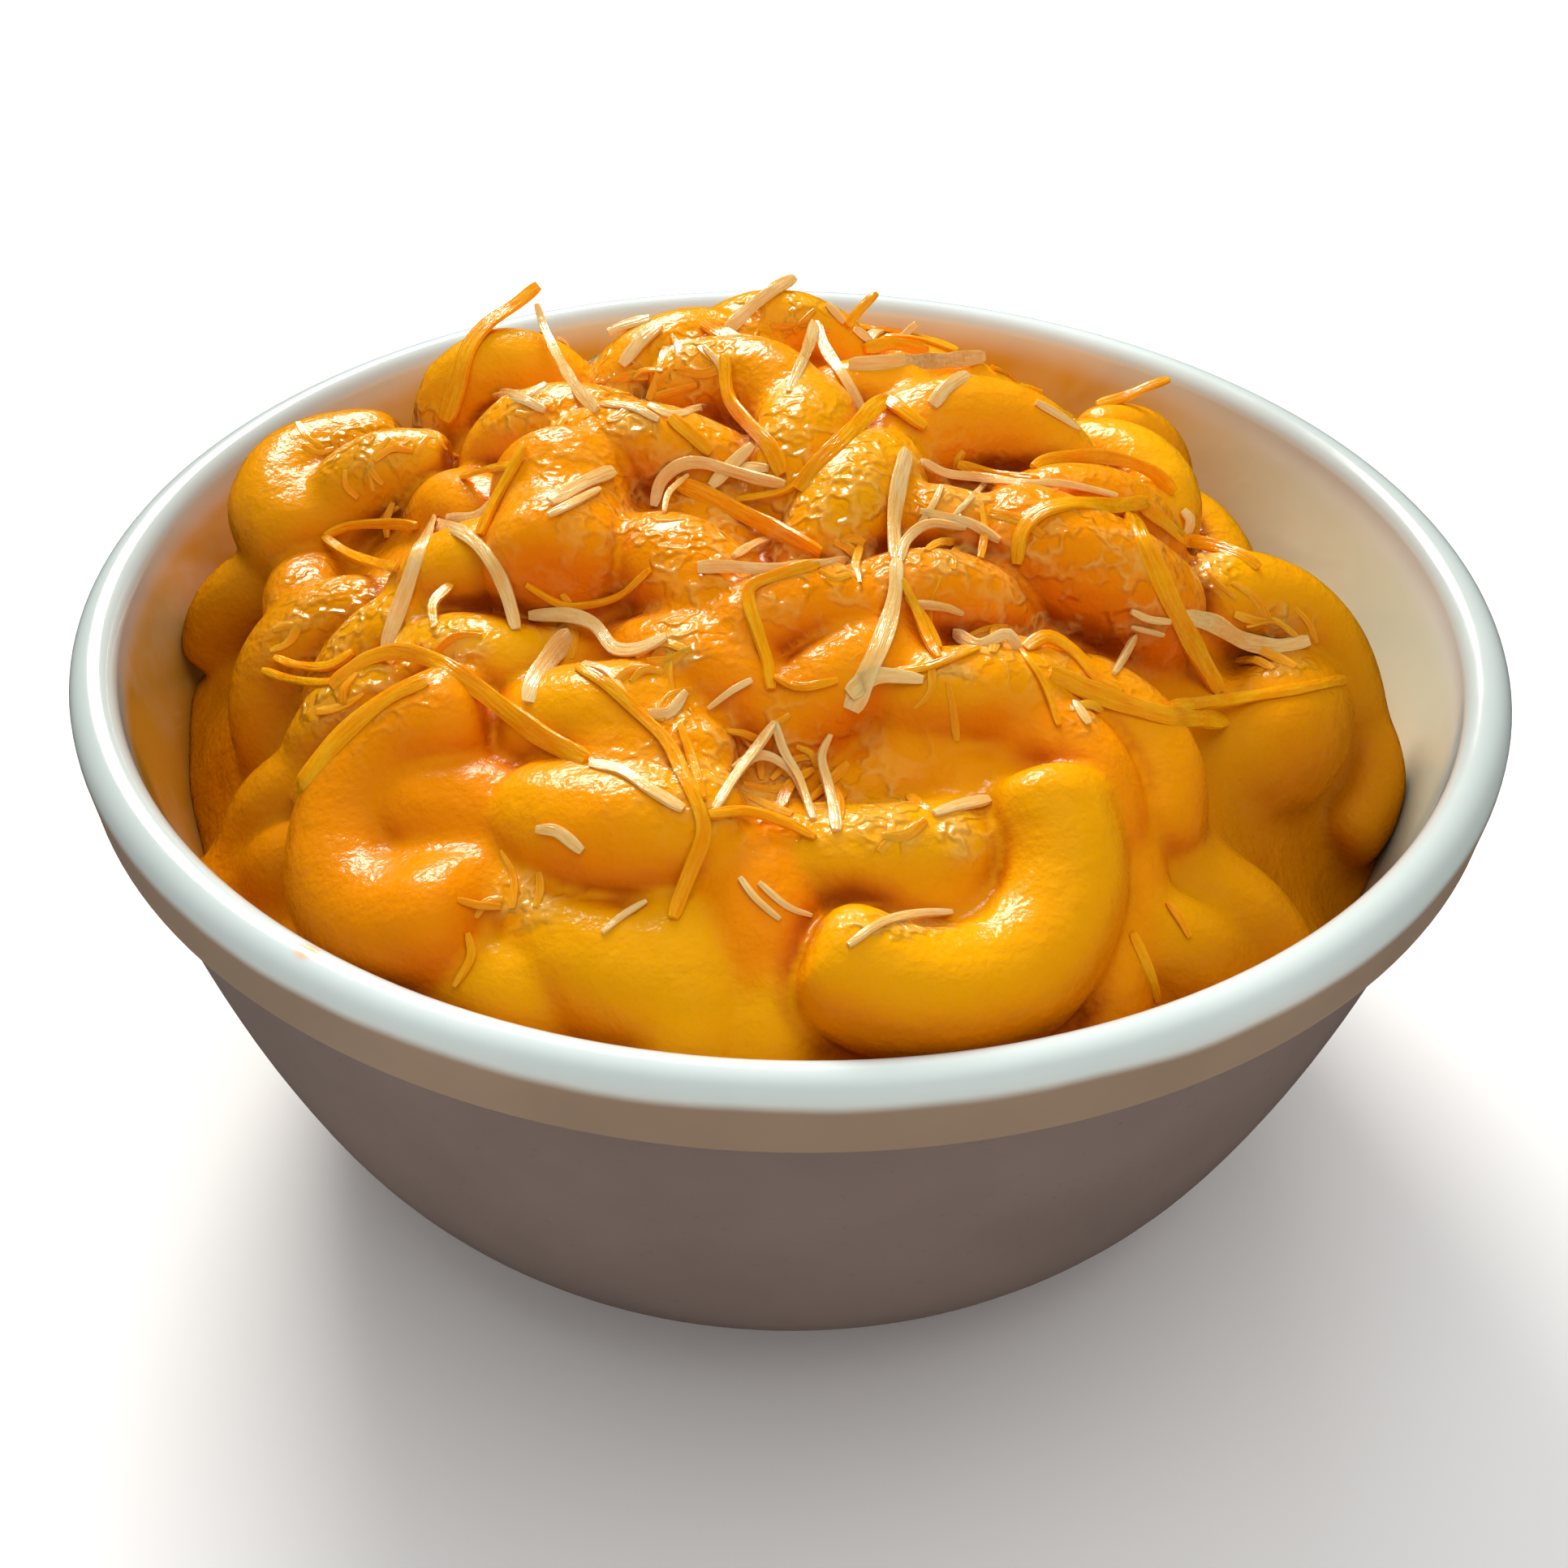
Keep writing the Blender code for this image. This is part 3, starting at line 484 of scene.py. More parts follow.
def elbow_frame(row):
    """The bend's centre, its along, outward and side directions, and its sizes."""
    x, y, lift, heading, roll, sweep, bend, radius = row
    step = 1.0
    rise_x = (dome(x + step, y) - dome(x - step, y)) / (2 * step)
    rise_y = (dome(x, y + step) - dome(x, y - step)) / (2 * step)
    point = Vector((x, y, float(dome(x, y))))
    up = Vector((-rise_x, -rise_y, 1.0)).normalized()
    along = Vector((math.cos(math.radians(heading)), math.sin(math.radians(heading)), 0.0))
    along = (along - up * along.dot(up)).normalized()
    left = up.cross(along)
    bulge = left * math.cos(math.radians(roll)) + up * math.sin(math.radians(roll))
    centre = point + up * (lift - radius) - bulge * bend
    return centre, along, bulge, along.cross(bulge), bend, math.radians(sweep / 2), radius


def elbow_centres(row, steps):
    """Points down an elbow's middle line."""
    centre, along, bulge, _, bend, half, _ = elbow_frame(row)
    points = []
    for k in range(steps + 1):
        turn = half * (2 * k / steps - 1)
        points.append(centre + bend * (along * math.sin(turn) + bulge * math.cos(turn)))
    return points


def filler_rows():
    """Elbows on a spiral of even spacing, where no placed elbow lies."""
    draw = random.Random(FILLER_SEED)
    taken = [centre for row in ELBOWS for centre in elbow_centres(row, FILLER_STEPS)]
    rows = []
    for k in range(FILLER_SLOTS):
        reach = FILLER_REACH * math.sqrt((k + 0.5) / FILLER_SLOTS)
        angle = math.radians(k * GOLDEN_TURN)
        x = reach * math.cos(angle)
        y = reach * math.sin(angle)
        shape = (draw.uniform(*FILLER_LIFTS), draw.uniform(0, 360), draw.choice(FILLER_ROLLS),
                 draw.uniform(*FILLER_SWEEPS), draw.uniform(*FILLER_BENDS), draw.uniform(*FILLER_RADII))
        if min(math.hypot(c.x - x, c.y - y) for c in taken) > FILLER_CLEAR:
            rows.append((x, y, *shape))
    return rows


def elbow_distance(row, flat, x, y, z):
    """Distance of points to the skin of an elbow with blunt or flat ends."""
    centre, along, bulge, side, bend, half, radius = elbow_frame(row)
    dx = x - centre.x
    dy = y - centre.y
    dz = z - centre.z
    a = np.abs(dx * along.x + dy * along.y + dz * along.z)
    b = dx * bulge.x + dy * bulge.y + dz * bulge.z
    s = dx * side.x + dy * side.y + dz * side.z
    beyond = a * math.cos(half) - b * math.sin(half)
    past = np.maximum(beyond, 0.0)
    outward = np.where(beyond > 0, a * math.sin(half) + b * math.cos(half), np.hypot(a, b)) - bend
    across = np.sqrt(outward ** 2 + s ** 2)
    blunt = FLAT_BLUNT if flat else BLUNT
    past = past / FLAT_REACH if flat else past
    return (across ** blunt + past ** blunt) ** (1 / blunt) - radius


def blend(first, second, width):
    """Join two distance fields with a web, and say how much each point belongs to the second."""
    share = np.clip(0.5 + 0.5 * (first - second) / width, 0.0, 1.0)
    return first * (1 - share) + second * share - width * share * (1 - share), share


class Grid:
    """Distances to the heap's skin, and its tint, on an even grid."""

    def __init__(self):
        counts = [int(round((h - l) / CELL)) + 1 for l, h in zip(GRID_LOW, GRID_HIGH)]
        self.low = np.array(GRID_LOW)
        self.axes = [GRID_LOW[i] + CELL * np.arange(counts[i]) for i in range(3)]
        self.values = np.full(counts, FAR, dtype=np.float32)
        self.tint = np.full(counts, 0.5, dtype=np.float32)

    def coordinates(self, region=(slice(None),) * 3):
        """The x, y and z of a region, ready to be combined."""
        x, y, z = (axis[part] for axis, part in zip(self.axes, region))
        return x[:, None, None], y[None, :, None], z[None, None, :]

    def region(self, points, margin):
        """The part of the grid around some points."""
        low = np.min(points, axis=0) - margin
        high = np.max(points, axis=0) + margin
        parts = []
        for i in range(3):
            first = int(np.clip(np.floor((low[i] - self.low[i]) / CELL), 0, len(self.axes[i]) - 1))
            last = int(np.clip(np.ceil((high[i] - self.low[i]) / CELL), 1, len(self.axes[i])))
            parts.append(slice(first, max(last, first + 1)))
        return tuple(parts)

    def stamp(self, points, margin, distance, width, tint=None):
        """Blend one shape into the heap."""
        region = self.region(points, margin)
        joined, share = blend(self.values[region], distance(*self.coordinates(region)), width)
        self.values[region] = joined
        if tint is not None:
            self.tint[region] = self.tint[region] * (1 - share) + tint * share

    def sample(self, field, points):
        """Values of a field between the grid's points."""
        place = (points - self.low) / CELL
        cell = np.floor(place).astype(int)
        for i in range(3):
            cell[:, i] = np.clip(cell[:, i], 0, field.shape[i] - 2)
        f = np.clip(place - cell, 0.0, 1.0)
        total = np.zeros(len(points))
        for corner in np.ndindex(2, 2, 2):
            weight = np.ones(len(points))
            for i in range(3):
                weight *= f[:, i] if corner[i] else 1 - f[:, i]
            i, j, k = (cell + np.array(corner)).T
            total += weight * field[i, j, k]
        return total

    def slope(self, points):
        """The direction in which the distance grows."""
        parts = []
        for i in range(3):
            shift = np.zeros(3)
            shift[i] = CELL / 2
            rise = self.sample(self.values, points + shift) - self.sample(self.values, points - shift)
            parts.append(rise / CELL)
        return np.stack(parts, axis=1)


def soft_noise(axes, size, seed):
    """Smooth random values on a grid, with lumps of a given size."""
    draw = np.random.default_rng(seed)
    weights = []
    for axis in axes:
        count = int((axis[-1] - axis[0]) / size) + 5
        place = (axis - axis[0]) / size + 1.5
        matrix = np.zeros((len(axis), count))
        for k in range(count):
            t = np.abs(place - k)
            near = 2 / 3 - t ** 2 + t ** 3 / 2
            far = np.maximum(2 - t, 0.0) ** 3 / 6
            matrix[:, k] = np.where(t < 1, near, far)
        weights.append(matrix.astype(np.float32))
    lattice = draw.normal(size=[w.shape[1] for w in weights]).astype(np.float32)
    noise = np.einsum("ai,ijk->ajk", weights[0], lattice)
    noise = np.einsum("bj,ajk->abk", weights[1], noise)
    return np.einsum("ck,abk->abc", weights[2], noise)


def grow_heap():
    """Distances to the skin of the whole heap inside the bowl."""
    grid = Grid()
    draw = random.Random(TINT_SEED)
    for k, row in enumerate(list(ELBOWS) + filler_rows()):
        distance = partial(elbow_distance, row, k in FLAT_ENDS)
        grid.stamp(elbow_centres(row, 8), row[7] + BOX_MARGIN, distance, ELBOW_WEB,
                   TINTS.get(k, draw.random()))
    for row in FILLS:
        distance = partial(elbow_distance, row, False)
        grid.stamp(elbow_centres(row, 2), row[7] + BOX_MARGIN, distance, FILL_WEB, FILL_TINT)
    x, y, z = grid.coordinates()
    core = (z - core_height(x, y) + CREASE_DEPTH) * CORE_SLOPE
    grid.values, share = blend(grid.values, core.astype(np.float32), SAUCE_WEB)
    grid.tint = grid.tint * (1 - share) + CORE_TINT * share
    for size, height, seed in NOISE_LAYERS:
        grid.values -= height * soft_noise(grid.axes, size, seed)
    size, height, seed = MELT_LUMPS
    melt = melted_share(np.stack([v.ravel() for v in np.broadcast_arrays(x, y, dome(x, y))], axis=1))
    melt = melt.reshape(x.shape[0], y.shape[1], 1).astype(np.float32)
    grid.values -= height * melt * np.abs(soft_noise(grid.axes, size, seed))
    wall = np.hypot(x, y) - (wall_radius(z) + WALL_REACH)
    kept, _ = blend(-grid.values, -wall.astype(np.float32), WALL_FILLET)
    grid.values = -kept
    return grid


def surface_net(grid):
    """Vertices and quads where the field crosses zero."""
    field = grid.values
    inside = field < 0
    corners = list(np.ndindex(2, 2, 2))
    spans = tuple(n - 1 for n in field.shape)
    count = np.zeros(spans, dtype=np.int8)
    for a, b, c in corners:
        count += inside[a:a + spans[0], b:b + spans[1], c:c + spans[2]]
    active = (count > 0) & (count < 8)
    cells = np.argwhere(active)
    index = np.full(spans, -1, dtype=np.int64)
    index[active] = np.arange(len(cells))
    values = {}
    for corner in corners:
        i, j, k = (cells + np.array(corner)).T
        values[corner] = field[i, j, k]
    total = np.zeros((len(cells), 3))
    crossings = np.zeros(len(cells))
    for start in corners:
        for axis in range(3):
            if start[axis]:
                continue
            end = tuple(1 if i == axis else start[i] for i in range(3))
            va = values[start]
            vb = values[end]
            cross = (va < 0) != (vb < 0)
            t = np.where(cross, va / np.where(cross, va - vb, 1.0), 0.0)
            point = np.array(start, dtype=float) + np.zeros((len(cells), 3))
            point[:, axis] = t
            total += point * cross[:, None]
            crossings += cross
    points = grid.low + (cells + total / crossings[:, None]) * CELL
    return points, np.concatenate([net_faces(inside, index, axis) for axis in range(3)])


def net_faces(inside, index, axis):
    """The quads around grid edges along one axis."""
    second = (axis + 1) % 3
    third = (axis + 2) % 3
    first_part = [slice(None)] * 3
    first_part[axis] = slice(None, -1)
    next_part = [slice(None)] * 3
    next_part[axis] = slice(1, None)
    here = inside[tuple(first_part)]
    change = np.argwhere(here != inside[tuple(next_part)])
    keep = (change[:, second] > 0) & (change[:, third] > 0)
    keep &= (change[:, second] < index.shape[second]) & (change[:, third] < index.shape[third])
    change = change[keep]
    quads = []
    for back_second, back_third in ((1, 1), (0, 1), (0, 0), (1, 0)):
        cell = change.copy()
        cell[:, second] -= back_second
        cell[:, third] -= back_third
        quads.append(index[cell[:, 0], cell[:, 1], cell[:, 2]])
    quads = np.stack(quads, axis=1)
    outward = here[change[:, 0], change[:, 1], change[:, 2]]
    return np.where(outward[:, None], quads, quads[:, ::-1])


def edge_list(quads):
    """The edges around every quad, as pairs."""
    return np.concatenate([quads[:, [k, (k + 1) % 4]] for k in range(4)])


def largest_part(count, quads):
    """Which vertices belong to the largest connected skin."""
    label = np.arange(count)
    edges = edge_list(quads)
    while True:
        before = label.copy()
        low = np.minimum(label[edges[:, 0]], label[edges[:, 1]])
        np.minimum.at(label, edges[:, 0], low)
        np.minimum.at(label, edges[:, 1], low)
        label = label[label]
        if np.array_equal(before, label):
            break
    names, sizes = np.unique(label, return_counts=True)
    return label == names[np.argmax(sizes)]


def rim_loop(quads):
    """The longest open edge of the skin, in order."""
    known = {(int(a), int(b)) for a, b in edge_list(quads)}
    following = {b: a for a, b in known if (b, a) not in known}
    best = []
    while following:
        start = next(iter(following))
        loop = [start]
        step = following.pop(start)
        while step != start and step in following:
            loop.append(step)
            step = following.pop(step)
        if len(loop) > len(best):
            best = loop
    return best


def make_heap(grid):
    """The skin of the heap, closed against the wall and floor of the bowl."""
    points, quads = surface_net(grid)
    for _ in range(SETTLE_ROUNDS):
        slope = grid.slope(points)
        size = np.maximum((slope ** 2).sum(axis=1), LEAST_SLOPE)
        move = -(grid.sample(grid.values, points) / size)[:, None] * slope
        points += np.clip(move, -CELL / 2, CELL / 2)
    skirt = core_height(points[:, 0], points[:, 1]) - SKIRT_DEPTH
    reach = np.hypot(points[:, 0], points[:, 1])
    deep = (points[:, 2] < skirt) & (reach > wall_radius(points[:, 2]) - NEAR_WALL)
    quads = quads[~deep[quads].any(axis=1)]
    quads = quads[largest_part(len(points), quads)[quads[:, 0]]]
    used = np.unique(quads)
    renumber = np.full(len(points), -1)
    renumber[used] = np.arange(len(used))
    points = points[used]
    quads = renumber[quads]
    loop = rim_loop(quads)
    tint = grid.sample(grid.tint, points)
    deepness = crevices(grid, points)
    vertices = points.tolist()
    faces = quads.tolist()
    add_skirt(vertices, faces, loop)
    extra = len(vertices) - len(points)
    heap = add_mesh("macaroni_heap", vertices, faces)
    for name, values in (("tint", tint), ("crevice", deepness), ("melt", melted_share(points))):
        attribute = heap.data.attributes.new(name, "FLOAT", "POINT")
        attribute.data.foreach_set("value", np.concatenate([values, np.zeros(extra)]).astype(np.float32))
    return heap


def add_skirt(vertices, faces, loop):
    """Close the skin's open edge with rings down the wall and a floor."""
    floor = HEIGHT - INNER_WALL[-1][0]
    previous = list(loop)
    for ring in range(1, SKIRT_RINGS + 1):
        share = ring / SKIRT_RINGS
        current = []
        for k in loop:
            x, y, z = vertices[k]
            low = z + (floor - z) * (1 - (1 - share) ** SKIRT_CURVE)
            reach = float(wall_radius(low)) / math.hypot(x, y)
            current.append(len(vertices))
            vertices.append([x * reach, y * reach, low])
        for i in range(len(loop)):
            following = (i + 1) % len(loop)
            faces.append([previous[i], previous[following], current[following], current[i]])
        previous = current
    centre = len(vertices)
    vertices.append([0.0, 0.0, floor])
    for i in range(len(loop)):
        faces.append([previous[i], previous[(i + 1) % len(loop)], centre])


def melted_share(points):
    """How much melted cheese covers each point, from the patches in the photo."""
    place, right, up, forward = camera_axes()
    seen = points - np.array(place)
    scale = FOCAL_PIXELS / (seen @ np.array(forward))
    px = PHOTO_SIZE / 2 + seen @ np.array(right) * scale
    py = PHOTO_SIZE / 2 - seen @ np.array(up) * scale
    share = np.zeros(len(points))
    patches = [(row, MELT_AROUND) for row in HALF_MELTED] + [(row[:4], 1.0) for row in MELTED]
    for (mx, my, reach_x, reach_y), weight in patches:
        away = ((px - mx) / reach_x) ** 2 + ((py - my) / reach_y) ** 2
        share = np.maximum(share, np.exp(-away) * weight)
    return share


def crevices(grid, points):
    """How deep in a crease each point lies, from 0 in the open to 1."""
    slope = grid.slope(points)
    normal = slope / np.maximum(np.linalg.norm(slope, axis=1), 1e-6)[:, None]
    closed = np.zeros(len(points))
    for reach in CREVICE_REACHES:
        seen = grid.sample(grid.values, points + normal * reach)
        closed += np.clip(1 - seen / reach, 0.0, 1.0)
    return closed / len(CREVICE_REACHES)


# Shreds


def camera_axes():
    """Where the photo was taken from, and its right, up and forward directions."""
    half = PHOTO_SIZE / 2
    aside = (RIM_MIDDLE[0] - half) / FOCAL_PIXELS
    above = (half - RIM_MIDDLE[1]) / FOCAL_PIXELS
    height = math.radians(VIEW_HEIGHT)
    pitch = height + math.atan(above)
    yaw = -math.atan(aside)
    roll = math.radians(VIEW_ROLL)
    ahead = Vector((0, math.cos(pitch), -math.sin(pitch)))
    upward = Vector((0, math.sin(pitch), math.cos(pitch)))
    rightward = Vector((1, 0, 0))
    forward = ahead * math.cos(yaw) + rightward * math.sin(yaw)
    right = rightward * math.cos(yaw) - ahead * math.sin(yaw)
    place = Vector((0, -VIEW_DISTANCE * math.cos(height), VIEW_DISTANCE * math.sin(height) + HEIGHT))
    return (place, right * math.cos(roll) - upward * math.sin(roll),
            right * math.sin(roll) + upward * math.cos(roll), forward)


def ray_through_photo(point):
    """The line of sight through a pixel of the photo."""
    place, right, up, forward = camera_axes()
    half = PHOTO_SIZE / 2
    direction = forward * FOCAL_PIXELS + right * (point[0] - half) + up * (half - point[1])
    return place, direction.normalized()


def ray_from_above(point):
    """A vertical line down onto the heap."""
    return Vector((point[0], point[1], HEIGHT * 2)), Vector((0, 0, -1))


def even_points(points, spacing):
    """Evenly spaced points along a smooth curve in a plane, and their share of its length."""
    fine = [p.xy for p in smooth_path([(x, y, 0) for x, y in points], 12)]
    runs = [0.0]
    for a, b in zip(fine, fine[1:]):
        runs.append(runs[-1] + (b - a).length)
    count = max(5, round(runs[-1] / spacing))
    along = np.linspace(0.0, runs[-1], count + 1)
    even = [np.interp(along, runs, [p[i] for p in fine]) for i in range(2)]
    return list(zip(*even)), along / runs[-1]


def soften(values, rounds):
    """Even out a row of values, ends kept."""
    for _ in range(rounds):
        inner = (values[:-2] + 2 * values[1:-1] + values[2:]) / 4
        values = np.concatenate([values[:1], inner, values[-1:]])
    return values


def nearest_pass(tree, origin, direction):
    """Where a ray that misses the heap passes nearest to it."""
    passes = []
    for distance in np.arange(*PASS_RANGE):
        _, normal, _, gap = tree.find_nearest(origin + direction * distance)
        passes.append((gap, distance, normal))
    _, distance, normal = min(passes, key=lambda entry: entry[0])
    return distance, normal


def lay_shred(tree, rays, lifts):
    """Points on the heap, one on each ray, along a limp line that bridges the creases."""
    reached = []
    normals = []
    for origin, direction in rays:
        hit, normal, _, distance = tree.ray_cast(origin, direction)
        if hit is None:
            distance, normal = nearest_pass(tree, origin, direction)
        reached.append(distance)
        normals.append(tuple(normal))
    furthest = np.array(reached) - lifts
    line = furthest.copy()
    for _ in range(TAUT_ROUNDS):
        pulled = line.copy()
        pulled[1:-1] = (line[:-2] + line[2:]) / 2 + SHRED_SLACK
        line = np.minimum(pulled, furthest)
    line = soften(line, LINE_ROUNDS)
    points = []
    for (origin, direction), distance in zip(rays, line):
        if direction.z < 0:
            distance = max(distance, (TOP_LIMIT - origin.z) / direction.z)
        points.append(origin + direction * distance)
    return points, [Vector(n).normalized() for n in soften(np.array(normals), NORMAL_ROUNDS)]


class Strips:
    """Flat strips with blunt tips, gathered into one mesh."""

    def __init__(self, thick, seed):
        self.thick = thick
        self.draw = random.Random(seed)
        self.vertices = []
        self.faces = []
        self.grain = []

    def add(self, path, normals, widths):
        base = len(self.vertices)
        twist = self.draw.uniform(-SHRED_TWIST, SHRED_TWIST)
        turn = self.draw.uniform(-SHRED_TURN, SHRED_TURN)
        wave = self.draw.uniform(0, 6)
        offset = self.draw.uniform(0, 90)
        lengths = [0.0]
        for a, b in zip(path, path[1:]):
            lengths.append(lengths[-1] + (b - a).length)
        for k, point in enumerate(path):
            onward = (path[min(k + 1, len(path) - 1)] - path[max(k - 1, 0)]).normalized()
            side = onward.cross(normals[k]).normalized()
            up = side.cross(onward)
            angle = math.radians(twist + turn * k / len(path))
            tilted_side = side * math.cos(angle) + up * math.sin(angle)
            tilted_up = up * math.cos(angle) - side * math.sin(angle)
            near_end = min(lengths[k], lengths[-1] - lengths[k])
            taper = TIP_WIDTH + (1 - TIP_WIDTH) * min(1.0, near_end / TIP_LENGTH) ** 0.5
            swell = 1 + SWELL[0] * math.sin(lengths[k] * SWELL[1] + wave)
            width = widths[k] * taper * swell
            thick = self.thick * (0.75 + 0.25 * taper)
            centre = point + up * self.thick * (0.5 - SHRED_SINK)
            for j in range(SHRED_SIDES):
                around = 2 * math.pi * (j + 0.5) / SHRED_SIDES
                c = math.cos(around)
                s = math.sin(around)
                across = math.copysign(abs(c) ** SIDE_ROUNDING, c) * width / 2
                over = math.copysign(abs(s) ** TOP_ROUNDING, s) * thick / 2
                self.vertices.append(tuple(centre + tilted_side * across + tilted_up * over))
                self.grain.append((across, over, lengths[k] + offset))
        self.join(base, len(path))

    def join(self, base, rings):
        for i in range(rings - 1):
            for j in range(SHRED_SIDES):
                following = (j + 1) % SHRED_SIDES
                here = base + i * SHRED_SIDES
                there = here + SHRED_SIDES
                self.faces.append((here + following, there + following, there + j, here + j))
        last = base + (rings - 1) * SHRED_SIDES
        self.faces.append(tuple(range(base + SHRED_SIDES - 1, base - 1, -1)))
        self.faces.append(tuple(range(last, last + SHRED_SIDES)))

    def build(self, name):
        strips = add_mesh(name, self.vertices, self.faces)
        work = bmesh.new()
        work.from_mesh(strips.data)
        bmesh.ops.recalc_face_normals(work, faces=work.faces)
        work.to_mesh(strips.data)
        work.free()
        strips.data.shade_smooth()
        strips.data.set_sharp_from_angle(angle=math.radians(SHRED_CREASE))
        grain = strips.data.attributes.new("grain", "FLOAT_VECTOR", "POINT")
        grain.data.foreach_set("vector", np.array(self.grain, dtype=np.float32).ravel())
        return strips


def bent_stops(draw, x, y, length):
    """Three points along a short bent line from a given start."""
    heading = draw.uniform(0, 2 * math.pi)
    bend = math.radians(draw.uniform(-STRAY_BEND, STRAY_BEND))
    stops = [(x, y)]
    for turn in (heading, heading + bend):
        x += length / 2 * math.cos(turn)
        y += length / 2 * math.sin(turn)
        stops.append((x, y))
    return stops


def stray_rows(seed):
    """Short shreds scattered over the far side of the heap, seen from above."""
    draw = random.Random(seed)
    rows = []
    while len(rows) < STRAY_SHREDS:
        away = STRAY_REACH * math.sqrt(draw.random())
        angle = draw.uniform(0, math.pi)
        stops = bent_stops(draw, away * math.cos(angle), away * math.sin(angle), draw.uniform(*STRAY_LENGTHS))
        inside = max(math.hypot(px, py) for px, py in stops) < STRAY_LIMIT
        if inside and min(py for _, py in stops) > STRAY_NEAREST:
            rows.append((draw.uniform(*STRAY_WIDTHS), draw.uniform(*STRAY_WIDTHS),
                         STRAY_START, draw.uniform(*STRAY_LIFTS), *stops))
    return rows


def strand_rows(seed):
    """Short thin strands scattered over the melted patches, in the photo's pixels."""
    draw = random.Random(seed)
    rows = []
    for px, py, reach_x, reach_y, count in MELTED:
        for _ in range(count):
            away = math.sqrt(draw.random())
            angle = draw.uniform(0, 2 * math.pi)
            stops = bent_stops(draw, px + reach_x * away * math.cos(angle),
                               py + reach_y * away * math.sin(angle), draw.uniform(*STRAND_PIXELS))
            rows.append((draw.uniform(*STRAND_WIDTHS), draw.uniform(*STRAND_WIDTHS),
                         draw.uniform(*STRAND_LIFTS), draw.uniform(*STRAND_LIFTS), *stops))
    return rows


def measured_rows(table):
    """Rows of a table, with sizes in millimetres and points in pairs."""
    return [(*[size / 10 for size in row[:4]], *zip(row[4::2], row[5::2])) for row in table]


def shred_lines(name, seed):
    """The rows of one kind of cheese, each with its line of sight and spacing."""
    if name == "melted_strands":
        return [(row, ray_through_photo, PHOTO_STEP) for row in strand_rows(seed)]
    table = CHEDDAR if name == "cheddar_shreds" else PALE
    lines = [(row, ray_through_photo, PHOTO_STEP) for row in measured_rows(table)]
    return lines + [(row, ray_from_above, SHRED_STEP) for row in stray_rows(seed)]


def make_shreds(name, thick, seed, tree):
    """All the shreds of one kind of cheese. A strand that would be long or would hang over is left out."""
    longest = STRAND_LONGEST if name == "melted_strands" else math.inf
    strips = Strips(thick, seed)
    for (start_width, end_width, start_lift, end_lift, *stops), sight, spacing in shred_lines(name, seed):
        points, share = even_points(stops, spacing)
        rays = [sight(point) for point in points]
        if longest < math.inf and any(tree.ray_cast(*ray)[0] is None for ray in rays):
            continue
        path, normals = lay_shred(tree, rays, start_lift + (end_lift - start_lift) * share)
        normals = [(n - ray[1] * SHRED_FACING).normalized() for n, ray in zip(normals, rays)]
        if (path[-1] - path[0]).length < longest:
            strips.add(path, normals, start_width + (end_width - start_width) * share)
    return strips.build(name)


# Materials


class Nodes:
    """Short calls for building a node material."""

    def __init__(self, name):
        self.material = bpy.data.materials.new(name)
        self.material.use_nodes = True
        self.tree = self.material.node_tree
        self.shader = self.tree.nodes["Principled BSDF"]
        self.place = self.add("ShaderNodeTexCoord").outputs["Object"]

    def add(self, kind, **values):
        node = self.tree.nodes.new(kind)
        for key, value in values.items():
            setattr(node, key, value)
        return node

    def feed(self, socket, value):
        if isinstance(value, bpy.types.NodeSocket):
            self.tree.links.new(value, socket)
        else:
            socket.default_value = value

    def noise(self, scale, detail=3.0, roughness=0.5, source=None):
        node = self.add("ShaderNodeTexNoise")
        self.feed(node.inputs["Vector"], source or self.place)
        node.inputs["Scale"].default_value = scale
        node.inputs["Detail"].default_value = detail
        node.inputs["Roughness"].default_value = roughness
        return node.outputs["Fac"]

    def math(self, operation, *values):
        node = self.add("ShaderNodeMath", operation=operation)
        for socket, value in zip(node.inputs, values):
            self.feed(socket, value)
        return node.outputs[0]

    def span(self, value, low, high, to_low=0.0, to_high=1.0):
        node = self.add("ShaderNodeMapRange", interpolation_type="SMOOTHSTEP")
        for key, number in (("From Min", low), ("From Max", high), ("To Min", to_low), ("To Max", to_high)):
            self.feed(node.inputs[key], number)
        self.feed(node.inputs["Value"], value)
        return node.outputs["Result"]

    def mix(self, share, first, second):
        node = self.add("ShaderNodeMix", data_type="RGBA")
        self.feed(node.inputs["Factor"], share)
        self.feed(node.inputs["A"], first)
        self.feed(node.inputs["B"], second)
        return node.outputs["Result"]

    def times(self, first, second):
        return self.math("MULTIPLY", first, second)

    def split(self, vector):
        node = self.add("ShaderNodeSeparateXYZ")
        self.feed(node.inputs[0], vector)
        return node.outputs

    def normal(self):
        return self.add("ShaderNodeNewGeometry").outputs["Normal"]

    def value(self, name):
        return self.add("ShaderNodeAttribute", attribute_name=name).outputs["Fac"]

    def bump(self, height, distance, strength=1.0):
        node = self.add("ShaderNodeBump")
        node.inputs["Strength"].default_value = strength
        node.inputs["Distance"].default_value = distance
        self.feed(node.inputs["Height"], height)
        if self.shader.inputs["Normal"].is_linked:
            self.feed(node.inputs["Normal"], self.shader.inputs["Normal"].links[0].from_socket)
        for socket in ("Normal", "Coat Normal"):
            self.feed(self.shader.inputs[socket], node.outputs["Normal"])

    def set(self, **values):
        for key, value in values.items():
            self.feed(self.shader.inputs[key.replace("_", " ")], value)


def colour(red, green, blue):
    """A colour given as it looks on screen, 0 to 255."""
    shares = [c / 255 for c in (red, green, blue)]
    return (*[((c + 0.055) / 1.055) ** 2.4 if c > 0.04 else c / 12.92 for c in shares], 1.0)


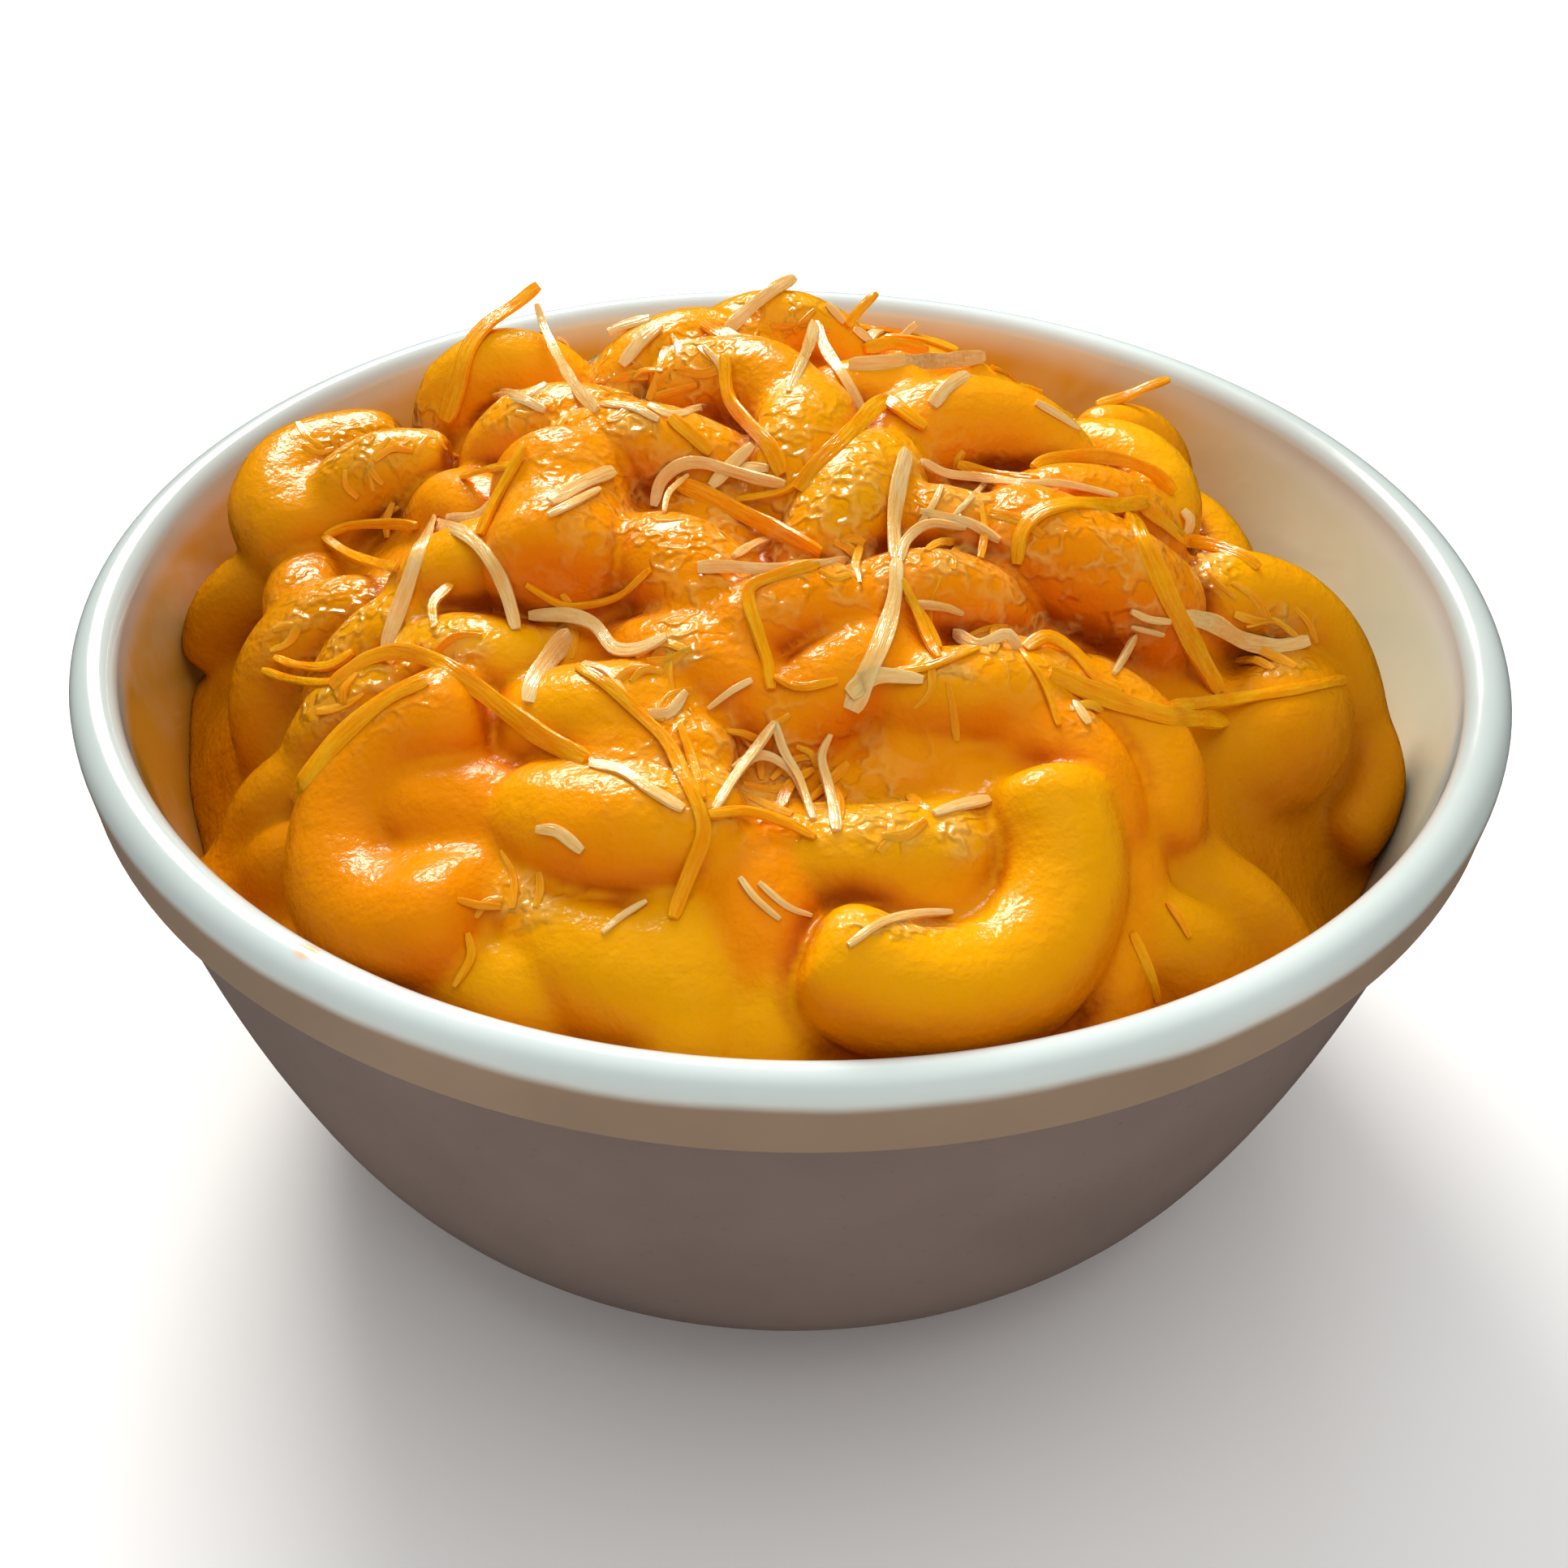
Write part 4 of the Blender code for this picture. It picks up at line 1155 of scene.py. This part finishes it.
def sauce_material():
    """Glossy cheese sauce, golden to orange, with painted light and shade: lighter and yellower on up-facing
    tops and at the back, deep orange on down-facing sides and in the creases, darker near the bowl's wall at
    the sides and on the left.
    """
    n = Nodes("cheese_sauce_skin")
    streaks = n.noise(420.0, 3.0)
    tint = n.math("ADD", n.times(n.value("tint"), 0.6), n.times(n.noise(110.0, 3.0), 0.5))
    tint = n.span(tint, 0.3, 0.85)
    # Painted light and shade by facing: up-facing tops get the lighter, yellower colour and down-facing sides
    # the darker orange one.
    lit_crown_colour = n.mix(tint, colour(243, 143, 0), colour(241, 167, 0))
    shaded_flank_colour = n.mix(tint, colour(232, 112, 0), colour(230, 129, 0))
    open_facing_light = n.mix(n.span(n.split(n.normal())[2], 0.1, 0.85), shaded_flank_colour, lit_crown_colour)
    # Painted shade in the creases: shade_colour, and the brown below it, are mixed in where the crevice value
    # is high.
    shade_colour = n.mix(tint, colour(216, 102, 0), colour(212, 122, 0))
    melt = n.value("melt")
    depth = n.math("ADD", n.value("crevice"), n.times(n.math("SUBTRACT", streaks, 0.5), 0.25))
    base = n.mix(n.span(depth, 0.1, 0.62), open_facing_light, shade_colour)
    base = n.mix(n.span(depth, 0.42, 0.85), base, colour(160, 64, 0))
    fold = n.math("ABSOLUTE", n.math("SUBTRACT", n.noise(330.0, 2.0, 0.55), 0.5))
    ridges = n.times(n.span(fold, 0.11, 0.0), n.span(melt, 0.05, 0.6))
    melted = n.times(ridges, n.span(streaks, 0.35, 0.6))
    base = n.mix(n.times(melted, 0.6), base, colour(242, 188, 92))
    film = n.times(n.span(melt, 0.5, 0.95), 0.4)
    base = n.mix(film, base, colour(240, 180, 80))
    x, y, z = n.split(n.place)
    # Painted light at the back: sauce on the far side of the heap, away from the creases, is made lighter and
    # yellower.
    behind = n.times(n.span(y, -0.012, 0.012), n.span(depth, 0.85, 0.3))
    base = n.mix(n.times(behind, 0.6), base, colour(250, 172, 10))
    # Painted shade near the bowl's wall: low sauce towards both sides is darkened to a brown orange.
    aside = n.span(n.math("ABSOLUTE", x), 0.02, 0.036)
    edge = n.times(aside, n.span(z, 0.061, 0.049))
    base = n.mix(n.times(edge, 0.75), base, colour(184, 112, 0))
    # Painted shade on the left side of the heap: the sauce turns darker orange towards the left wall.
    left = n.times(n.span(x, -0.024, -0.046), 0.5)
    base = n.mix(left, base, colour(198, 118, 0))
    rough = n.span(n.noise(1500.0, 3.0, 0.6), 0.3, 0.7, 0.2, 0.4)
    n.set(Base_Color=base, Roughness=rough, Specular_IOR_Level=0.1, IOR=1.42)
    n.set(Subsurface_Weight=0.2, Subsurface_Radius=(1.0, 0.7, 0.1), Subsurface_Scale=0.0015)
    n.set(Coat_Weight=n.span(melt, 0.05, 0.5, 0.5, 0.7))
    n.set(Coat_Roughness=n.span(melt, 0.05, 0.5, 0.13, 0.06))
    n.bump(n.noise(430.0, 2.0), 0.0007, 0.45)
    n.bump(n.noise(2300.0, 2.0), 0.00022, 0.4)
    n.bump(ridges, 0.0006, 0.6)
    return n.material


def shred_material(name, light, dark, glow):
    """Grated cheese: waxy, half see-through, with fine lines along each strip."""
    n = Nodes(name)
    stretched = n.add("ShaderNodeVectorMath", operation="MULTIPLY")
    n.feed(stretched.inputs[0], n.add("ShaderNodeAttribute", attribute_name="grain").outputs["Vector"])
    stretched.inputs[1].default_value = GRAIN_STRETCH
    lines = n.noise(1.0, 3.0, 0.6, stretched.outputs[0])
    patches = n.noise(260.0, 3.0)
    mixed = n.math("ADD", n.times(lines, 0.6), n.times(patches, 0.4))
    base = n.mix(n.span(mixed, 0.38, 0.62), dark, light)
    n.set(Base_Color=base, Roughness=n.span(lines, 0.3, 0.7, 0.16, 0.34))
    n.set(Subsurface_Weight=0.35, Subsurface_Radius=glow, Subsurface_Scale=0.0005)
    n.set(Coat_Weight=0.9, Coat_Roughness=0.07)
    n.bump(lines, 0.0003, 0.7)
    n.bump(n.noise(1500.0, 2.0), 0.0002, 0.4)
    return n.material


def glaze_material():
    """Off-white glaze on the lip and inside, its bluish cast partly a painted reflection of the sky; a sauce
    smear with painted orange bounce light inside; painted shade at the rim's sides; taupe outside with a
    lighter band, partly the glaze's own tones and partly painted light and shade.
    """
    n = Nodes("stoneware_glaze")
    x, y, z = n.split(n.place)
    radius = n.math("SQRT", n.math("ADD", n.times(x, x), n.times(y, y)))
    depth = n.math("SUBTRACT", HEIGHT * MM, z)
    wobble = n.times(n.math("SUBTRACT", n.noise(60.0, 2.0), 0.5), 0.0012)
    outer = n.span(radius, (LIP_CROWN + 0.6) * MM, (LIP_CROWN + 1.6) * MM)
    below = n.span(n.math("ADD", depth, wobble), (GLAZE_EDGE - 0.5) * MM, (GLAZE_EDGE + 0.5) * MM)
    below_lip = n.times(outer, below)
    under_band = n.span(depth, (BAND_DEPTH - 0.3) * MM, (BAND_DEPTH + 0.6) * MM)
    lower = n.times(under_band, n.math("LESS_THAN", n.split(n.normal())[2], 0.0))
    shade = n.math("MAXIMUM", below_lip, lower)
    patches = n.span(n.noise(45.0, 4.0, 0.55), 0.3, 0.7)
    # The glaze's off-white; its bluish cast is partly a painted reflection of the sky.
    white = n.mix(patches, colour(212, 225, 224), colour(219, 231, 230))
    white = n.mix(n.span(depth, 0.002, 0.006), white, colour(212, 226, 206))
    # Sauce smeared on the inner wall everywhere but the right side, partly real smear and partly painted
    # orange light bounced from the food.
    smear_and_bounce_light = n.times(n.span(depth, 0.0005, 0.005), n.span(x, 0.056, 0.034))
    smear_and_bounce_light = n.times(smear_and_bounce_light, n.span(n.noise(90.0, 3.0), 0.25, 0.6, 0.68, 0.98))
    white = n.mix(smear_and_bounce_light, white, colour(206, 152, 36))
    # Painted shade: the rim is greyed towards its left and right sides.
    sides = n.times(n.span(n.math("ABSOLUTE", x), 0.03, 0.06), n.span(depth, 0.004, 0.001))
    white = n.mix(n.times(sides, 0.6), white, colour(176, 185, 181))
    spill = n.add("ShaderNodeVectorMath", operation="DISTANCE")
    n.feed(spill.inputs[0], n.place)
    spill.inputs[1].default_value = [v * MM for v in RIM_SPILL]
    drop = n.span(spill.outputs["Value"], 0.0013, 0.0004)
    white = n.mix(n.times(drop, 0.8), white, colour(236, 170, 104))
    # The taupe outside and its lighter band: partly the glaze's own tones, partly painted shade of the
    # backlit bowl, with the band lighter and the body darker because of how light falls.
    band = n.mix(patches, colour(146, 124, 103), colour(156, 133, 111))
    body = n.mix(patches, colour(124, 108, 101), colour(132, 115, 107))
    body = n.mix(n.span(n.noise(900.0, 2.0), 0.62, 0.78, 0.0, 0.35), body, colour(112, 97, 90))
    outside = n.mix(n.span(depth, (BAND_DEPTH + 0.1) * MM, (BAND_DEPTH + 1.1) * MM), band, body)
    polish = n.span(n.noise(240.0, 3.0), 0.3, 0.7, 0.17, 0.23)
    matt = n.math("MAXIMUM", polish, n.times(shade, 0.5))
    n.set(Base_Color=n.mix(shade, white, outside), Roughness=matt, Coat_Roughness=0.06)
    n.set(Specular_IOR_Level=n.span(shade, 0.0, 1.0, 0.5, 0.12))
    n.set(Coat_Weight=n.span(shade, 0.0, 1.0, 0.35, 0.0))
    n.bump(n.noise(70.0, 2.0), 0.0004, 0.15)
    return n.material


def floor_material():
    """Matt pale surface."""
    n = Nodes("pale_floor")
    base = n.mix(n.noise(3.0, 3.0), colour(250, 250, 250), colour(252, 252, 252))
    n.set(Base_Color=base, Roughness=0.8)
    return n.material


# Camera and light


def make_camera():
    """The photo's viewpoint."""
    place, right, up, forward = camera_axes()
    data = bpy.data.cameras.new("camera")
    data.sensor_width = SENSOR
    data.lens = FOCAL_PIXELS / PHOTO_SIZE * SENSOR
    data.clip_start = 0.005
    camera = bpy.data.objects.new("camera", data)
    matrix = Matrix((right, up, -forward)).transposed().to_4x4()
    matrix.translation = place * MM
    camera.matrix_world = matrix
    bpy.context.scene.collection.objects.link(camera)
    bpy.context.scene.camera = camera


def add_light(name, place, size, power, tone, shines):
    """A soft light that looks at the food, seen in its gloss or not."""
    data = bpy.data.lights.new(name, "AREA")
    data.shape = "RECTANGLE"
    data.size, data.size_y = size
    data.energy = power
    data.color = tone
    light = bpy.data.objects.new(name, data)
    light.location = place
    light.visible_glossy = shines
    light.rotation_euler = (Vector(LIGHT_TARGET) - Vector(place)).to_track_quat("-Z", "Y").to_euler()
    bpy.context.scene.collection.objects.link(light)


def make_light():
    """A window behind and above, a weak fill in front, and a pale room."""
    for light in LIGHTS:
        add_light(*light)
    world = bpy.data.worlds.new("room")
    world.use_nodes = True
    background = world.node_tree.nodes["Background"]
    background.inputs["Color"].default_value = ROOM_TONE
    background.inputs["Strength"].default_value = ROOM_STRENGTH
    world.cycles_visibility.glossy = False
    bpy.context.scene.world = world
    bpy.context.scene.view_settings.view_transform = "Standard"


def make_floor():
    """A wide pale surface under the bowl."""
    corners = [(FLOOR_REACH * a, FLOOR_REACH * b, 0) for a, b in ((-1, -1), (1, -1), (1, 1), (-1, 1))]
    floor = add_mesh("floor", corners, [(0, 1, 2, 3)])
    floor.location.z = -FLOOR_GAP * MM
    floor.visible_glossy = False
    floor.data.materials.append(floor_material())


def dress(piece, material, node):
    """Give a piece its surface and its place in the model."""
    piece.data.materials.append(material)
    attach(piece, "root")
    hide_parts(node)


def main():
    make_camera()
    make_light()
    make_floor()
    bowl = make_bowl()
    bowl.visible_glossy = False
    dress(bowl, glaze_material(), "bowl")
    heap = make_heap(grow_heap())
    dress(heap, sauce_material(), "macaroni")
    work = bmesh.new()
    work.from_mesh(heap.data)
    bmesh.ops.scale(work, vec=(1 / MM,) * 3, verts=work.verts)
    tree = BVHTree.FromBMesh(work)
    work.free()
    for name, surface, thick, seed, light, dark, glow in CHEESES:
        shreds = make_shreds(name, thick, seed, tree)
        material = shred_material(surface, colour(*light), colour(*dark), glow)
        dress(shreds, material, "macaroni")


main()
